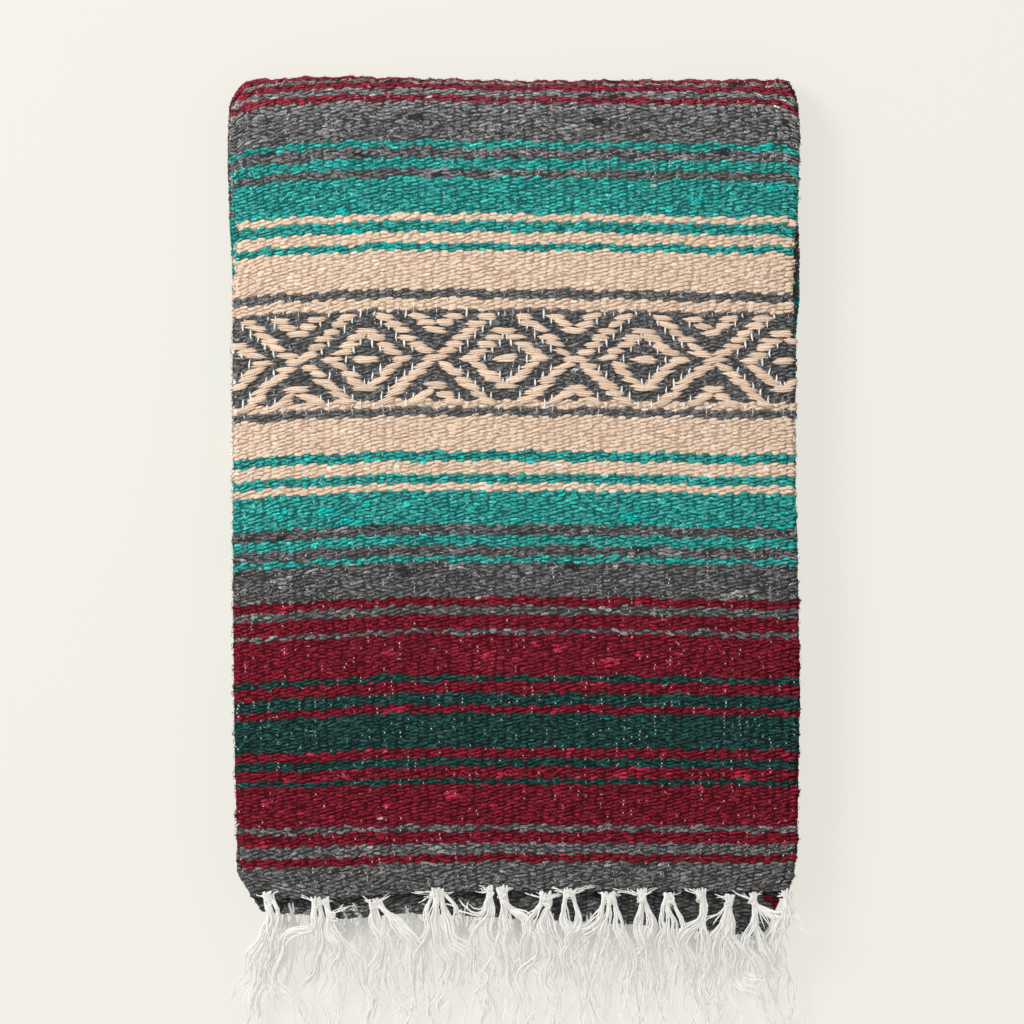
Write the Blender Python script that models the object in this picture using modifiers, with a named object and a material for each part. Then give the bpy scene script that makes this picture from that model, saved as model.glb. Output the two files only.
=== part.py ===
"""A Mexican serape, or falsa blanket, folded to a sixteenth and lying flat, fringes to the front.

The cloth is one woven panel. It is folded twice across its width, which gives a group of four layers,
and that group is folded twice along its length: end A lies on top, runs to the back fold, returns along
the floor, turns up at the front fold, runs back inside the back fold and ends as end B, under end A.

Frame: metres, +X across the folded blanket, +Y towards the back fold, -Y towards the fringes, +Z up.
The origin is on the floor, under the middle of the part's box. While the pieces are built, y is 0 at
the outermost point of the back fold, and stand_on_origin() moves them all to the part's own frame.
"""

import math

import bmesh
import bpy
import numpy as np
from mathutils import Matrix, Vector

MM = 0.001

# The cloth as it lies folded, and the clearance between pieces that touch.
CLOTH = 2.3 * MM
GAP = 0.3 * MM

# The height of one group of four layers: at the back fold, at the front, and how much it swells between.
GROUP_BACK = 7.75 * MM
GROUP_FRONT = 8.3 * MM
GROUP_SWELL = 1.5 * MM
SIDE_SINK = 0.07
# Shallow waves in the height: their share of it, and their radians a metre across and along.
WAVE = 0.018
WAVE_ACROSS = (21.0, 9.0)
WAVE_ALONG = 26.0
WAVE_START = 1.3

# Places along y, from the outermost point of the back fold.
FOLD_Y = -2 * GROUP_BACK
END_A_Y = -459.6 * MM
FRONT_FOLD_Y = -457.4 * MM
CORE_FRONT_Y = FRONT_FOLD_Y + 5 * GAP

# The two sides as seen from above, in mm.
EDGES = (
    # y, left, right
    (-490.0, -141.0, 145.0),
    (-468.0, -145.5, 149.0),
    (-460.0, -149.5, 154.5),
    (-451.0, -152.8, 158.0),
    (-437.0, -157.0, 160.0),
    (-387.0, -158.2, 160.6),
    (-350.0, -158.8, 161.4),
    (-296.0, -159.3, 160.6),
    (-228.0, -159.5, 158.9),
    (-98.0, -159.9, 159.2),
    (-70.0, -160.3, 160.4),
    (-30.0, -161.5, 161.4),
    (-15.0, -161.6, 160.6),
    (0.0, -161.6, 160.4),
)
CORNER_LEFT = 9.0 * MM
CORNER_RIGHT = 6.0 * MM

# The lines of the back fold and of the two ends as seen from above, in mm.
BACK_LINE = (
    # x, offset from y = 0
    (-160.0, -2.6),
    (-122.0, -0.4),
    (-92.0, 0.0),
    (0.0, -2.4),
    (150.0, -1.6),
    (162.0, -3.0),
)
BACK_LINE_FADE = 90 * MM
END_A_LINE = (
    # x, offset from END_A_Y
    (-150.0, -3.0),
    (-110.0, -5.0),
    (-76.0, -2.0),
    (-8.0, 0.6),
    (104.0, -0.4),
    (150.0, 0.0),
)
END_B_LINE = (
    # x, y
    (-146.0, -471.5),
    (-116.0, -473.5),
    (-99.0, -476.0),
    (-60.0, -472.5),
    (0.0, -475.5),
    (65.0, -478.6),
    (97.0, -482.0),
    (127.0, -484.5),
    (140.0, -489.5),
    (148.0, -475.5),
)
DROOP_RADIUS = 55 * MM

# The cells of the cloth: across the flat, between the front and the back, and round each fold.
FLAT_CELLS = 8
ALONG_CELLS = 9
BACK_CELLS = 7
FRONT_CELLS = 6
NOSE_CELLS = 5
NOSE_TURN = math.radians(150)

# The levels of the hidden layers out from the middle of the stack, in group heights. The last one lies
# under the outermost sheet.
LEVELS = (0.0, 0.125, 0.25, 0.375, 0.5, 0.625, 0.75, 0.875, 1.0, 1.125, 1.25, 1.375, 1.5, None)

# The layered edges on the right, outwards from the middle of the stack, in group heights and mm.
RIGHT_LAYERS = (
    # from, to, set back
    (0.00, 0.25, 1.6),
    (0.25, 0.50, 2.7),
    (0.50, 1.00, 0.5),
    (1.00, 1.50, 0.9),
    (1.50, 1.75, 2.3),
)

# End B: its cells, and how far each of its four layers stands back, from the lowest up, in mm.
END_B_CELLS = (10, 3, 8)
END_B_SETBACKS = (2.6, 0.8, 1.7, 0.0)

# The bunches of the two fringes, in mm.
BUNCHES_A = (
    # x, lean, length
    (-139.0, -7.0, 90.0),
    (-110.0, 2.0, 93.0),
    (-78.0, -4.0, 91.0),
    (-44.0, 3.0, 94.0),
    (-14.0, -3.0, 92.0),
    (8.0, -1.0, 90.0),
    (30.0, 1.5, 93.0),
    (53.0, -2.0, 91.0),
    (71.0, 2.0, 94.0),
    (88.0, -1.0, 92.0),
    (105.0, 1.0, 91.0),
    (121.0, 2.5, 93.0),
    (138.0, 6.0, 90.0),
)
BUNCHES_B = (
    # x, lean, length
    (-125.0, -5.0, 67.0),
    (-94.0, 3.0, 64.0),
    (-61.0, -2.0, 67.0),
    (-29.0, 2.0, 64.0),
    (-3.0, -2.0, 63.0),
    (19.0, 1.0, 61.0),
    (41.0, -1.5, 60.0),
    (62.0, 2.0, 59.0),
    (80.0, -1.0, 57.0),
    (97.0, 1.0, 55.0),
    (113.0, -1.0, 54.0),
    (129.0, 2.0, 52.0),
)
# How a bunch falls from the cloth to the floor. The first row is the end of its gathered head.
FALL_A = (
    # share of length, share of fan, height in mm
    (0.07, 0.10, 31.0),
    (0.29, 0.35, 26.8),
    (0.54, 0.65, 14.0),
    (0.78, 0.88, 6.8),
    (1.00, 1.00, 2.2),
)
FALL_B = (
    # share of length, share of fan, height in mm
    (0.08, 0.10, 20.5),
    (0.22, 0.35, 15.0),
    (0.40, 0.65, 7.4),
    (0.68, 0.88, 2.9),
    (1.00, 1.00, 1.4),
)
# A bunch's two rows of strands have come together by this share of its fan.
ONE_ROW = 0.88
STRIP_GAP = 0.7 * MM
STRIP_DEPTH = 1.6 * MM
CELL = 2.3 * MM
CELLS_ACROSS = 3
CELLS_HIGH = 2
HEAD_SQUEEZE = 0.62
STRAND = 1.05 * MM
STRAND_TIP = 0.8 * MM
ROW_LIFT = 0.75 * MM
FAN_LIMIT = 10 * MM
FAN_SHARE = 0.45

CLOTH_TOP = (0.10, 0.02, 0.03, 1.0)
CLOTH_SIDE = (0.02, 0.20, 0.17, 1.0)
CLOTH_END = (0.07, 0.07, 0.07, 1.0)
WARP = (0.80, 0.78, 0.73, 1.0)
CLOTH_ROUGHNESS = 0.95
WARP_ROUGHNESS = 0.85
SHARP_FROM = math.radians(40)


def read(rows, value, column=1):
    """One column of a table in mm, read between its rows at a value in metres, in metres."""
    rows = sorted(rows)
    return float(np.interp(value / MM, [row[0] for row in rows], [row[column] for row in rows])) * MM


def group_height(x, y):
    """The height of a group of four layers, which swells between the folds and sinks at the sides."""
    share = min(max((y - FRONT_FOLD_Y) / (FOLD_Y - FRONT_FOLD_Y), 0.0), 1.0)
    swell = GROUP_SWELL * (1 - (2 * share - 1) ** 4)
    across = min(abs(x) / read(EDGES, y, 2), 1.0)
    ripples = math.sin(WAVE_ACROSS[0] * x + WAVE_ACROSS[1] * y) * math.sin(WAVE_ALONG * y + WAVE_START)
    wave = WAVE * ripples * math.sin(math.pi * share)
    height = GROUP_FRONT + (GROUP_BACK - GROUP_FRONT) * share + swell
    return height * (1 - SIDE_SINK * across**6 + wave)


def sides(y, turn=0.0):
    """The left and right edge at y. turn is 0 on the flat and 1 at the outermost point of the back fold."""
    return read(EDGES, y, 1) + CORNER_LEFT * turn, read(EDGES, y, 2) - CORNER_RIGHT * turn


def between(low, high, share):
    return low + (high - low) * share


def on_back_line(x, y):
    """y moved with the back fold's line, which fades out away from the fold."""
    return y + read(BACK_LINE, x) * max(0.0, 1 + y / BACK_LINE_FADE) ** 2


def end_a(x):
    return END_A_Y + read(END_A_LINE, x)


def stack_height(x, y):
    return 4 * group_height(x, y)


def front_radius(x):
    """The outer radius of the front fold, which stays just below end B."""
    return group_height(x, FRONT_FOLD_Y) - GAP / 2


def cloth_material(name, colour, roughness):
    made = bpy.data.materials.new(name)
    made.use_nodes = True
    surface = made.node_tree.nodes["Principled BSDF"]
    surface.inputs["Base Color"].default_value = colour
    surface.inputs["Roughness"].default_value = roughness
    surface.inputs["Metallic"].default_value = 0.0
    made.diffuse_color = colour
    return made


def add_piece(name, bm, home, finish):
    """The named object of a bmesh, in the part's collection, on its root and shaded smooth."""
    bmesh.ops.recalc_face_normals(bm, faces=bm.faces)
    if bm.calc_volume(signed=True) < 0:
        bmesh.ops.reverse_faces(bm, faces=bm.faces)
    mesh = bpy.data.meshes.new(name)
    bm.to_mesh(mesh)
    bm.free()
    mesh.materials.append(finish)
    mesh.shade_smooth()
    mesh.set_sharp_from_angle(angle=SHARP_FROM)
    piece = bpy.data.objects.new(name, mesh)
    home["collection"].objects.link(piece)
    piece.parent = home["root"]
    return piece


def cell_block(cells):
    """A block of cells of side 1, cells[0] x cells[1] x cells[2] of them, with a corner at the origin."""
    bm = bmesh.new()
    bmesh.ops.create_cube(bm, size=1.0, matrix=Matrix.Translation((0.5, 0.5, 0.5)))
    bmesh.ops.scale(bm, vec=cells, verts=bm.verts)
    for axis, count in enumerate(cells):
        for cut in range(1, count):
            point, normal = Vector(), Vector()
            point[axis], normal[axis] = cut, 1.0
            everything = bm.verts[:] + bm.edges[:] + bm.faces[:]
            bmesh.ops.bisect_plane(bm, geom=everything, plane_co=point, plane_no=normal)
    return bm


def place_all(bm, place):
    """Moves each vertex from its whole-number cell corner to place(i, j, k)."""
    for vertex in bm.verts:
        vertex.co = place(*(round(c) for c in vertex.co))


# ---- The outermost sheet: the top, the back fold, the underside and the front fold


def outer_path(step, x):
    """The sheet's outer face at a step along its path: y, z, the inward direction and the corner turn."""
    if step <= ALONG_CELLS:
        y = between(end_a(x), FOLD_Y, step / ALONG_CELLS)
        return y, stack_height(x, y), (0.0, -1.0), 0.0
    step -= ALONG_CELLS
    if step <= BACK_CELLS:
        angle = math.pi * (0.5 - step / BACK_CELLS)
        y = FOLD_Y + 2 * GROUP_BACK * math.cos(angle)
        z = stack_height(x, FOLD_Y) * (1 + math.sin(angle)) / 2
        return y, z, (-math.cos(angle), -math.sin(angle)), math.cos(angle) ** 2
    step -= BACK_CELLS
    if step <= ALONG_CELLS:
        return between(FOLD_Y, FRONT_FOLD_Y, step / ALONG_CELLS), 0.0, (0.0, 1.0), 0.0
    angle = math.pi * (step - ALONG_CELLS) / FRONT_CELLS
    radius = front_radius(x)
    y = FRONT_FOLD_Y - radius * math.sin(angle)
    return y, radius * (1 - math.cos(angle)), (math.sin(angle), math.cos(angle)), 0.0


def outer_point(across, step):
    """A point of the sheet: across its flat part from the right, then round the nose on its left edge."""
    y, _, _, turn = outer_path(step, 0.0)
    if step > 2 * ALONG_CELLS + BACK_CELLS:
        y = FRONT_FOLD_Y
    left, right = sides(y, turn)
    nose = (group_height(left, y) - GAP) / 2
    x = between(right, left + nose, min(across / FLAT_CELLS, 1.0))
    y, z, inward, _ = outer_path(step, x)
    angle = NOSE_TURN * max(across - FLAT_CELLS, 0) / NOSE_CELLS
    depth = nose * (1 - math.cos(angle))
    y, z = y + inward[0] * depth, z + inward[1] * depth
    return x - nose * math.sin(angle), on_back_line(x, y), z


def outer_panel(home):
    cells = FLAT_CELLS + NOSE_CELLS, ALONG_CELLS + BACK_CELLS + ALONG_CELLS + FRONT_CELLS
    bm = bmesh.new()
    corner = Matrix.Diagonal((cells[0] / 2, cells[1] / 2, 1.0, 1.0))
    corner.translation = (cells[0] / 2, cells[1] / 2, 0.0)
    bmesh.ops.create_grid(bm, x_segments=cells[0], y_segments=cells[1], size=1.0, matrix=corner)
    place_all(bm, lambda across, step, _: outer_point(across, step))
    panel = add_piece("outer_panel", bm, home, cloth_material("outer_cloth", CLOTH_TOP, CLOTH_ROUGHNESS))
    wall = panel.modifiers.new("wall", "SOLIDIFY")
    wall.thickness = CLOTH
    wall.offset = -1.0
    return panel


# ---- The hidden layers: one rounded solid, layered where its edges show


def left_setback(level, height, in_front):
    """The inner fold's rounded nose, and the ledge that the outermost sheet's nose goes round."""
    if in_front or level is None or level > 1:
        return height / 2 + 2 * GAP
    out = abs(2 * level - 1)
    return height / 2 * (1 - math.sqrt(1 - out**2))


def right_setback(level, height, in_front):
    """The selvedges and folds that end on the right, one above another."""
    if in_front or level is None:
        return height / 4
    meeting = [layer for layer in RIGHT_LAYERS if layer[0] <= level <= layer[1]]
    setbacks = []
    for low, high, back in meeting:
        out = (2 * level - low - high) / (high - low)
        rounding = (high - low) * height / 2 * (1 - math.sqrt(max(1 - out**2, 0.0)))
        setbacks.append(back * MM + rounding)
    return max(setbacks)


def core_column(step):
    """The y of a column of cells on the way from end A round the back to the front fold, and its angle."""
    upper_end = 1 + ALONG_CELLS
    back_end = upper_end + BACK_CELLS
    last = back_end + ALONG_CELLS
    if step <= upper_end:
        return between(CORE_FRONT_Y, FOLD_Y, max(step - 1, 0) / ALONG_CELLS), math.pi / 2
    if step <= back_end:
        return FOLD_Y, math.pi * (0.5 - (step - upper_end) / BACK_CELLS)
    return between(FOLD_Y, CORE_FRONT_Y, (min(step, last) - back_end) / ALONG_CELLS), -math.pi / 2


def core_point(across, step, level):
    """A point of the hidden layers, across, along their path and out from the middle of the stack."""
    level = LEVELS[level]
    past_last = step - (1 + 2 * ALONG_CELLS + BACK_CELLS)
    in_front = past_last > 0
    y, angle = core_column(step)
    outermost = 2 if level is None else level
    left, right = sides(y, math.cos(angle) ** 2 * min(outermost, 1))
    nearest = group_height(left, y)
    low = left + left_setback(level, nearest, in_front)
    high = right - right_setback(level, nearest, in_front)
    x = between(low, high, across / FLAT_CELLS)
    height = group_height(x, y)
    out = 2 * height - CLOTH - 2 * GAP if level is None else level * height
    z = 2 * height + out * math.sin(angle)
    y += out * math.cos(angle) * GROUP_BACK / height
    if step == 0:
        y = END_A_Y
        z = max(z, 2 * height + GAP)
    if in_front:
        y -= GAP
    if past_last > 1:
        inside = front_radius(x) - CLOTH - 3 * GAP
        y -= math.sqrt(max(inside**2 - (z - front_radius(x)) ** 2, 0.0))
    return x, on_back_line(x, y), z


def folded_layers(home):
    steps = 3 + 2 * ALONG_CELLS + BACK_CELLS
    bm = cell_block((FLAT_CELLS, steps, len(LEVELS) - 1))
    # The two halves of the block meet along the middle of the stack, all the way from fold to fold.
    middle = []
    for face in bm.faces:
        if all(v.co.z < 0.5 and 0.5 < v.co.y < steps - 1.5 for v in face.verts):
            middle.append(face)
    bmesh.ops.delete(bm, geom=middle, context="FACES")
    place_all(bm, core_point)
    bmesh.ops.remove_doubles(bm, verts=bm.verts, dist=0.01 * MM)
    return add_piece("folded_layers", bm, home, cloth_material("inner_cloth", CLOTH_SIDE, CLOTH_ROUGHNESS))


# ---- End B, which sticks out under end A


def end_b(x):
    return read(END_B_LINE, x)


def droop(x, y):
    """How far end B hangs down past the front fold that carries it."""
    past = max(FRONT_FOLD_Y - group_height(x, FRONT_FOLD_Y) - y, 0.0)
    return past**2 / (2 * DROOP_RADIUS)


def end_b_point(across, along, level):
    """A point of end B: along is from its back to its front, and each layer takes two levels."""
    share, depth, rise = (c / n for c, n in zip((across, along, level), END_B_CELLS))
    out = abs(2 * rise - 1)
    side = GROUP_FRONT / 2 * (1 - math.sqrt(1 - out**2))
    first, last = END_B_LINE[0][0] * MM + side, END_B_LINE[-1][0] * MM - side
    x = between(first, last, share)
    layer = min(level // 2, len(END_B_SETBACKS) - 1)
    groove = 0.0 if level % 2 else CLOTH / 2
    front = end_b(x) + END_B_SETBACKS[layer] * MM + groove
    y = between(END_A_Y - GAP, front, depth)
    height = group_height(x, END_A_Y)
    return x, y, between(2 * height + GAP, 3 * height, rise) - droop(x, y)


def end_b_panel(home):
    bm = cell_block(END_B_CELLS)
    place_all(bm, end_b_point)
    return add_piece("end_b_panel", bm, home, cloth_material("end_cloth", CLOTH_END, CLOTH_ROUGHNESS))


# ---- The fringes: strands in gathered bunches that grow from a narrow strip in front of the cloth's edge


def fan_of(bunches, index):
    """Half the width that a bunch's tips spread over, clear of the bunches beside it."""
    x, lean = bunches[index][:2]
    near = [abs(x + lean - other[0] - other[1]) for n, other in enumerate(bunches) if n != index]
    return min(FAN_LIMIT, FAN_SHARE * min(near) * MM)


def strand_points(start, bunch, fan, order, row, fall, drop):
    """The centres of one strand's sections, from the end of the bunch's head to the tip."""
    across = 2 * order / (CELLS_ACROSS * CELLS_HIGH - 1) - 1
    lift = ROW_LIFT * (2 * row - 1)
    points = []
    for step, (along, spread, height) in enumerate(fall):
        x = start.x + spread * across * fan + along * bunch[1] * MM
        y = start.y - along * bunch[2] * MM
        fading = max(0.0, 1 - spread / ONE_ROW) if step else HEAD_SQUEEZE
        points.append(Vector((x, y, height * MM - drop * (1 - along) + lift * fading)))
    return points


def grow_bunch(bm, faces, bunch, fan, fall, drop):
    """Draws the strip's cells of one bunch together into a head, then each cell out into a strand."""
    start = sum((v.co for f in faces for v in f.verts), Vector()) / (4 * len(faces))
    made = bmesh.ops.extrude_face_region(bm, geom=faces)["geom"]
    bmesh.ops.delete(bm, geom=faces, context="FACES")
    centre = start + Vector((bunch[1] * fall[0][0] * MM, -bunch[2] * fall[0][0] * MM, 0.0))
    centre.z = fall[0][2] * MM - drop
    for vertex in (g for g in made if isinstance(g, bmesh.types.BMVert)):
        vertex.co = centre + (vertex.co - start) * HEAD_SQUEEZE
    heads = [g for g in made if isinstance(g, bmesh.types.BMFace)]
    for face in heads:
        middle = face.calc_center_median()
        corners = [v.co - middle for v in face.verts]
        column = round((middle.x - centre.x) / (CELL * HEAD_SQUEEZE)) + CELLS_ACROSS // 2
        row = int(middle.z > centre.z)
        points = strand_points(start, bunch, fan, CELLS_HIGH * column + row, row, fall, drop)
        for step in range(1, len(points)):
            grown = bmesh.ops.extrude_discrete_faces(bm, faces=[face])["faces"]
            face = grown[0]
            ahead = (points[min(step + 1, len(points) - 1)] - points[step - 1]).normalized()
            aside = ahead.cross(Vector((0.0, 0.0, 1.0))).normalized()
            above = aside.cross(ahead)
            half = between(STRAND, STRAND_TIP, step / (len(points) - 1)) / 2
            for vertex, corner in zip(face.verts, corners):
                east, up = math.copysign(half, -corner.x), math.copysign(half, corner.z)
                vertex.co = points[step] + aside * east + above * up


def fringe(name, home, finish, strands, lines):
    """The strip and its bunches. Its lines at x are the edge behind it, its upper edge and its sinking."""
    bunches, fall = strands
    edge, top, drop = lines
    half = CELLS_ACROSS / 2
    stops = [bunches[0][0] * MM - 2 * CELL]
    for bunch in bunches:
        stops += [bunch[0] * MM + (cell - half) * CELL for cell in range(CELLS_ACROSS + 1)]
    stops.append(bunches[-1][0] * MM + 2 * CELL)
    bm = cell_block((len(stops) - 1, 1, CELLS_HIGH))
    front = [face for face in bm.faces if all(v.co.y < 0.5 for v in face.verts)]
    columns = [[] for _ in stops]
    for face in front:
        columns[int(face.calc_center_median().x)].append(face)

    def place(stop, behind, level):
        x = stops[stop]
        y = edge(x) - STRIP_GAP - STRIP_DEPTH * (1 - behind)
        return x, y, top(x) - CLOTH * (1 - level / CELLS_HIGH)

    place_all(bm, place)
    for index, bunch in enumerate(bunches):
        first = 1 + index * (CELLS_ACROSS + 1)
        faces = [face for column in columns[first : first + CELLS_ACROSS] for face in column]
        grow_bunch(bm, faces, bunch, fan_of(bunches, index), fall, drop(bunch[0] * MM))
    return add_piece(name, bm, home, finish)


def both_fringes(home):
    finish = cloth_material("warp_yarn", WARP, WARP_ROUGHNESS)

    def top_a(x):
        return stack_height(x, END_A_Y)

    def drop_a(x):
        return 0.0

    def drop_b(x):
        return droop(x, end_b(x))

    def top_b(x):
        return 3 * group_height(x, END_A_Y) - drop_b(x)

    fringe("fringe_end_a", home, finish, (BUNCHES_A, FALL_A), (end_a, top_a, drop_a))
    fringe("fringe_end_b", home, finish, (BUNCHES_B, FALL_B), (end_b, top_b, drop_b))


def clear_scene():
    for old in list(bpy.data.objects):
        bpy.data.objects.remove(old, do_unlink=True)


def stand_on_origin(home):
    """Puts the origin under the middle of the part's box, on the floor."""
    pieces = [piece for piece in home["collection"].objects if piece.type == "MESH"]
    points = [vertex.co for piece in pieces for vertex in piece.data.vertices]
    low = [min(p[axis] for p in points) for axis in range(3)]
    high = [max(p[axis] for p in points) for axis in range(3)]
    home["root"].location = (-(low[0] + high[0]) / 2, -(low[1] + high[1]) / 2, -low[2])


def main():
    clear_scene()
    collection = bpy.data.collections.new("mexican_serape")
    bpy.context.scene.collection.children.link(collection)
    root = bpy.data.objects.new("serape_root", None)
    collection.objects.link(root)
    home = {"collection": collection, "root": root}
    outer_panel(home)
    folded_layers(home)
    end_b_panel(home)
    both_fringes(home)
    stand_on_origin(home)


main()
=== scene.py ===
import math

import bpy
import numpy as np
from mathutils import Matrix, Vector


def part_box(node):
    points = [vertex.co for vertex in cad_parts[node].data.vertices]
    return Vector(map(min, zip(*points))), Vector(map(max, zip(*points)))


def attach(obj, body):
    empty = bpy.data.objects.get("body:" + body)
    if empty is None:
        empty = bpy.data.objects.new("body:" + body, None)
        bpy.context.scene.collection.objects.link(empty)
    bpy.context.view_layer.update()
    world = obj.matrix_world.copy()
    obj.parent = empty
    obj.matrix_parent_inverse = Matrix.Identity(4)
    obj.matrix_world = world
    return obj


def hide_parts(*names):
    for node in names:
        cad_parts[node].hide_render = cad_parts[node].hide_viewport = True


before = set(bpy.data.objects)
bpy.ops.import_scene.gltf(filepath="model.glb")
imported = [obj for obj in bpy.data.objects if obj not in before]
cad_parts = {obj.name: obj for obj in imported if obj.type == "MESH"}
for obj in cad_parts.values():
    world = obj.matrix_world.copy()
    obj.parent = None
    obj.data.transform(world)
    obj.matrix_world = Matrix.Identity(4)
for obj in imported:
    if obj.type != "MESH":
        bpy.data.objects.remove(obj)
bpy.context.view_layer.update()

# A Mexican serape, folded to a sixteenth and lying flat. The cloth is a thin sheet on the CAD form. Every
# float of the weft that shows is a small mound of its own on the sheet, in the stripes' colours.
#
# Lengths are in millimetres and in the frame that part.py builds in, with y = 0 at the outermost point of
# the back fold, until new_mesh() turns them into the frame's metres.
#
# A surface here is a function of across, from the right-hand selvedge to the left, and along, from end A.
# A side is -1 on the left and 1 on the right. A group is four layers of the folded cloth, and the stack is
# four groups high.

# ---- The form, as in part.py

GAP = 0.3
GROUPS = 4
GROUP_LAYERS = 4
GROUP_BACK = 7.75
GROUP_FRONT = 8.3
GROUP_SWELL = 1.5
SIDE_SINK = 0.07
WAVE = 0.018
WAVE_ACROSS = (0.021, 0.009)
WAVE_ALONG = 0.026
WAVE_START = 1.3
FOLD_Y = -2 * GROUP_BACK
END_A_Y = -459.6
FRONT_FOLD_Y = -457.4
HALF_WIDE = 160.0
COLUMN = {-1: 1, 1: 2}
EDGES = (
    # y, left, right
    (-490.0, -141.0, 145.0),
    (-468.0, -145.5, 149.0),
    (-460.0, -149.5, 154.5),
    (-451.0, -152.8, 158.0),
    (-437.0, -157.0, 160.0),
    (-387.0, -158.2, 160.6),
    (-350.0, -158.8, 161.4),
    (-296.0, -159.3, 160.6),
    (-228.0, -159.5, 158.9),
    (-98.0, -159.9, 159.2),
    (-70.0, -160.3, 160.4),
    (-30.0, -161.5, 161.4),
    (-15.0, -161.6, 160.6),
    (0.0, -161.6, 160.4),
)
CORNER = {-1: 9.0, 1: 6.0}
BACK_LINE = (
    # x, offset from y = 0
    (-160.0, -2.6),
    (-122.0, -0.4),
    (-92.0, 0.0),
    (0.0, -2.4),
    (150.0, -1.6),
    (162.0, -3.0),
)
BACK_LINE_FADE = 90.0
END_A_LINE = (
    # x, offset from END_A_Y
    (-150.0, -3.0),
    (-110.0, -5.0),
    (-76.0, -2.0),
    (-8.0, 0.6),
    (104.0, -0.4),
    (150.0, 0.0),
)
END_A_FADE = 60.0
END_B_LINE = (
    # x, y
    (-146.0, -471.5),
    (-116.0, -473.5),
    (-99.0, -476.0),
    (-60.0, -472.5),
    (0.0, -475.5),
    (65.0, -478.6),
    (97.0, -482.0),
    (127.0, -484.5),
    (140.0, -489.5),
    (148.0, -475.5),
)
END_B_SPAN = {-1: -141.8, 1: 137.5}
END_B_LEAN = {-1: 0.62, 1: 0.46}
END_B_LEAN_FADE = 14.0
END_B_LEAN_RUN = 22.0
END_B_ROUND = (2.6, 4.1)
DROOP_RADIUS = 55.0
# Where the lower groups stick out past the top one on each side: from y, to y and how far. The ramp is how
# steeply that starts and ends.
PEEK = {-1: (-112.0, -14.0, 1.5), 1: (-150.0, -74.0, 2.2)}
PEEK_RAMP = 3.2
DRAWN_IN = (
    # y, and how far the top sheet draws in there on the left and right
    (-150.0, 0.0, 0.0),
    (-135.0, 0.4, 1.2),
    (-98.0, 1.4, 1.4),
    (-86.0, 2.8, 0.8),
    (-60.0, 1.2, 0.0),
    (-40.0, 0.4, 0.0),
    (-20.0, 0.0, 0.0),
)
# From part.py's frame to the part's own.
SHIFT = (
    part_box("end_b_panel")[0].x * 1000 - END_B_LINE[0][0],
    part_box("end_b_panel")[1].y * 1000 - (END_A_Y - GAP),
    0.0,
)

# The outermost sheet's path: along the top, round the back fold, along the underside, round the front fold.
TOP_RUN = FOLD_Y - END_A_Y
BACK_RUN = math.pi * 2 * GROUP_BACK
UNDER_RUN = FOLD_Y - FRONT_FOLD_Y
FRONT_RUN = math.pi * (GROUP_FRONT - GAP / 2)
UNDER_START = TOP_RUN + BACK_RUN
FRONT_START = UNDER_START + UNDER_RUN
PATH_END = FRONT_START + FRONT_RUN

# ---- The weave

WARP = 4.4
PICK = 1.05
FLAT_WARPS = 72
SPAN = FLAT_WARPS * WARP
SELVEDGE = 1.15
END_ROUND = 1.15

# The stripes from end A to the middle of the second green one, where they repeat in reverse.
STRIPES = (
    ("gray", 15.5),
    ("maroon", 4.5), ("gray", 6.2), ("maroon", 6.8), ("gray", 3.4), ("maroon", 23.2),
    ("green", 3.4), ("maroon", 6.2), ("green", 5.1), ("maroon", 5.6), ("green", 19.8),
    ("maroon", 4.5), ("green", 6.8), ("maroon", 6.2), ("green", 4.0), ("maroon", 23.2),
    ("gray", 2.8), ("maroon", 7.9), ("gray", 5.1), ("maroon", 5.1), ("gray", 19.8),
    ("teal", 3.4), ("gray", 6.2), ("teal", 6.2), ("gray", 5.7), ("teal", 19.2),
    ("beige", 4.0), ("teal", 5.6), ("beige", 6.8), ("teal", 5.7), ("beige", 20.3),
    ("charcoal", 4.5), ("beige", 4.5), ("ground", 50.9), ("beige", 6.2), ("charcoal", 5.1), ("beige", 22.0),
    ("teal", 4.0), ("beige", 6.2), ("teal", 6.2), ("beige", 4.0), ("teal", 20.9),
    ("gray", 4.5), ("teal", 6.2), ("gray", 6.2), ("teal", 4.0), ("gray", 22.4),
    ("maroon", 4.0), ("gray", 5.0), ("maroon", 6.4), ("gray", 3.3), ("maroon", 23.0),
    ("green", 3.7), ("maroon", 6.2), ("green", 5.5), ("maroon", 5.0), ("green", 10.0),
)
STRIPE_ENDS = np.cumsum([width for _, width in STRIPES])
HALF_LENGTH = 940.0
# How far the stripes of the lower group and of end B lie from those of the top sheet.
INNER_PHASE = {-1: 24.0, 1: 77.7}
INNER_FROM = 60.0
END_B_PHASE = -11.5
END_B_CORNER_PHASE = 9.0
END_B_CORNER = 5.5

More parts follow.
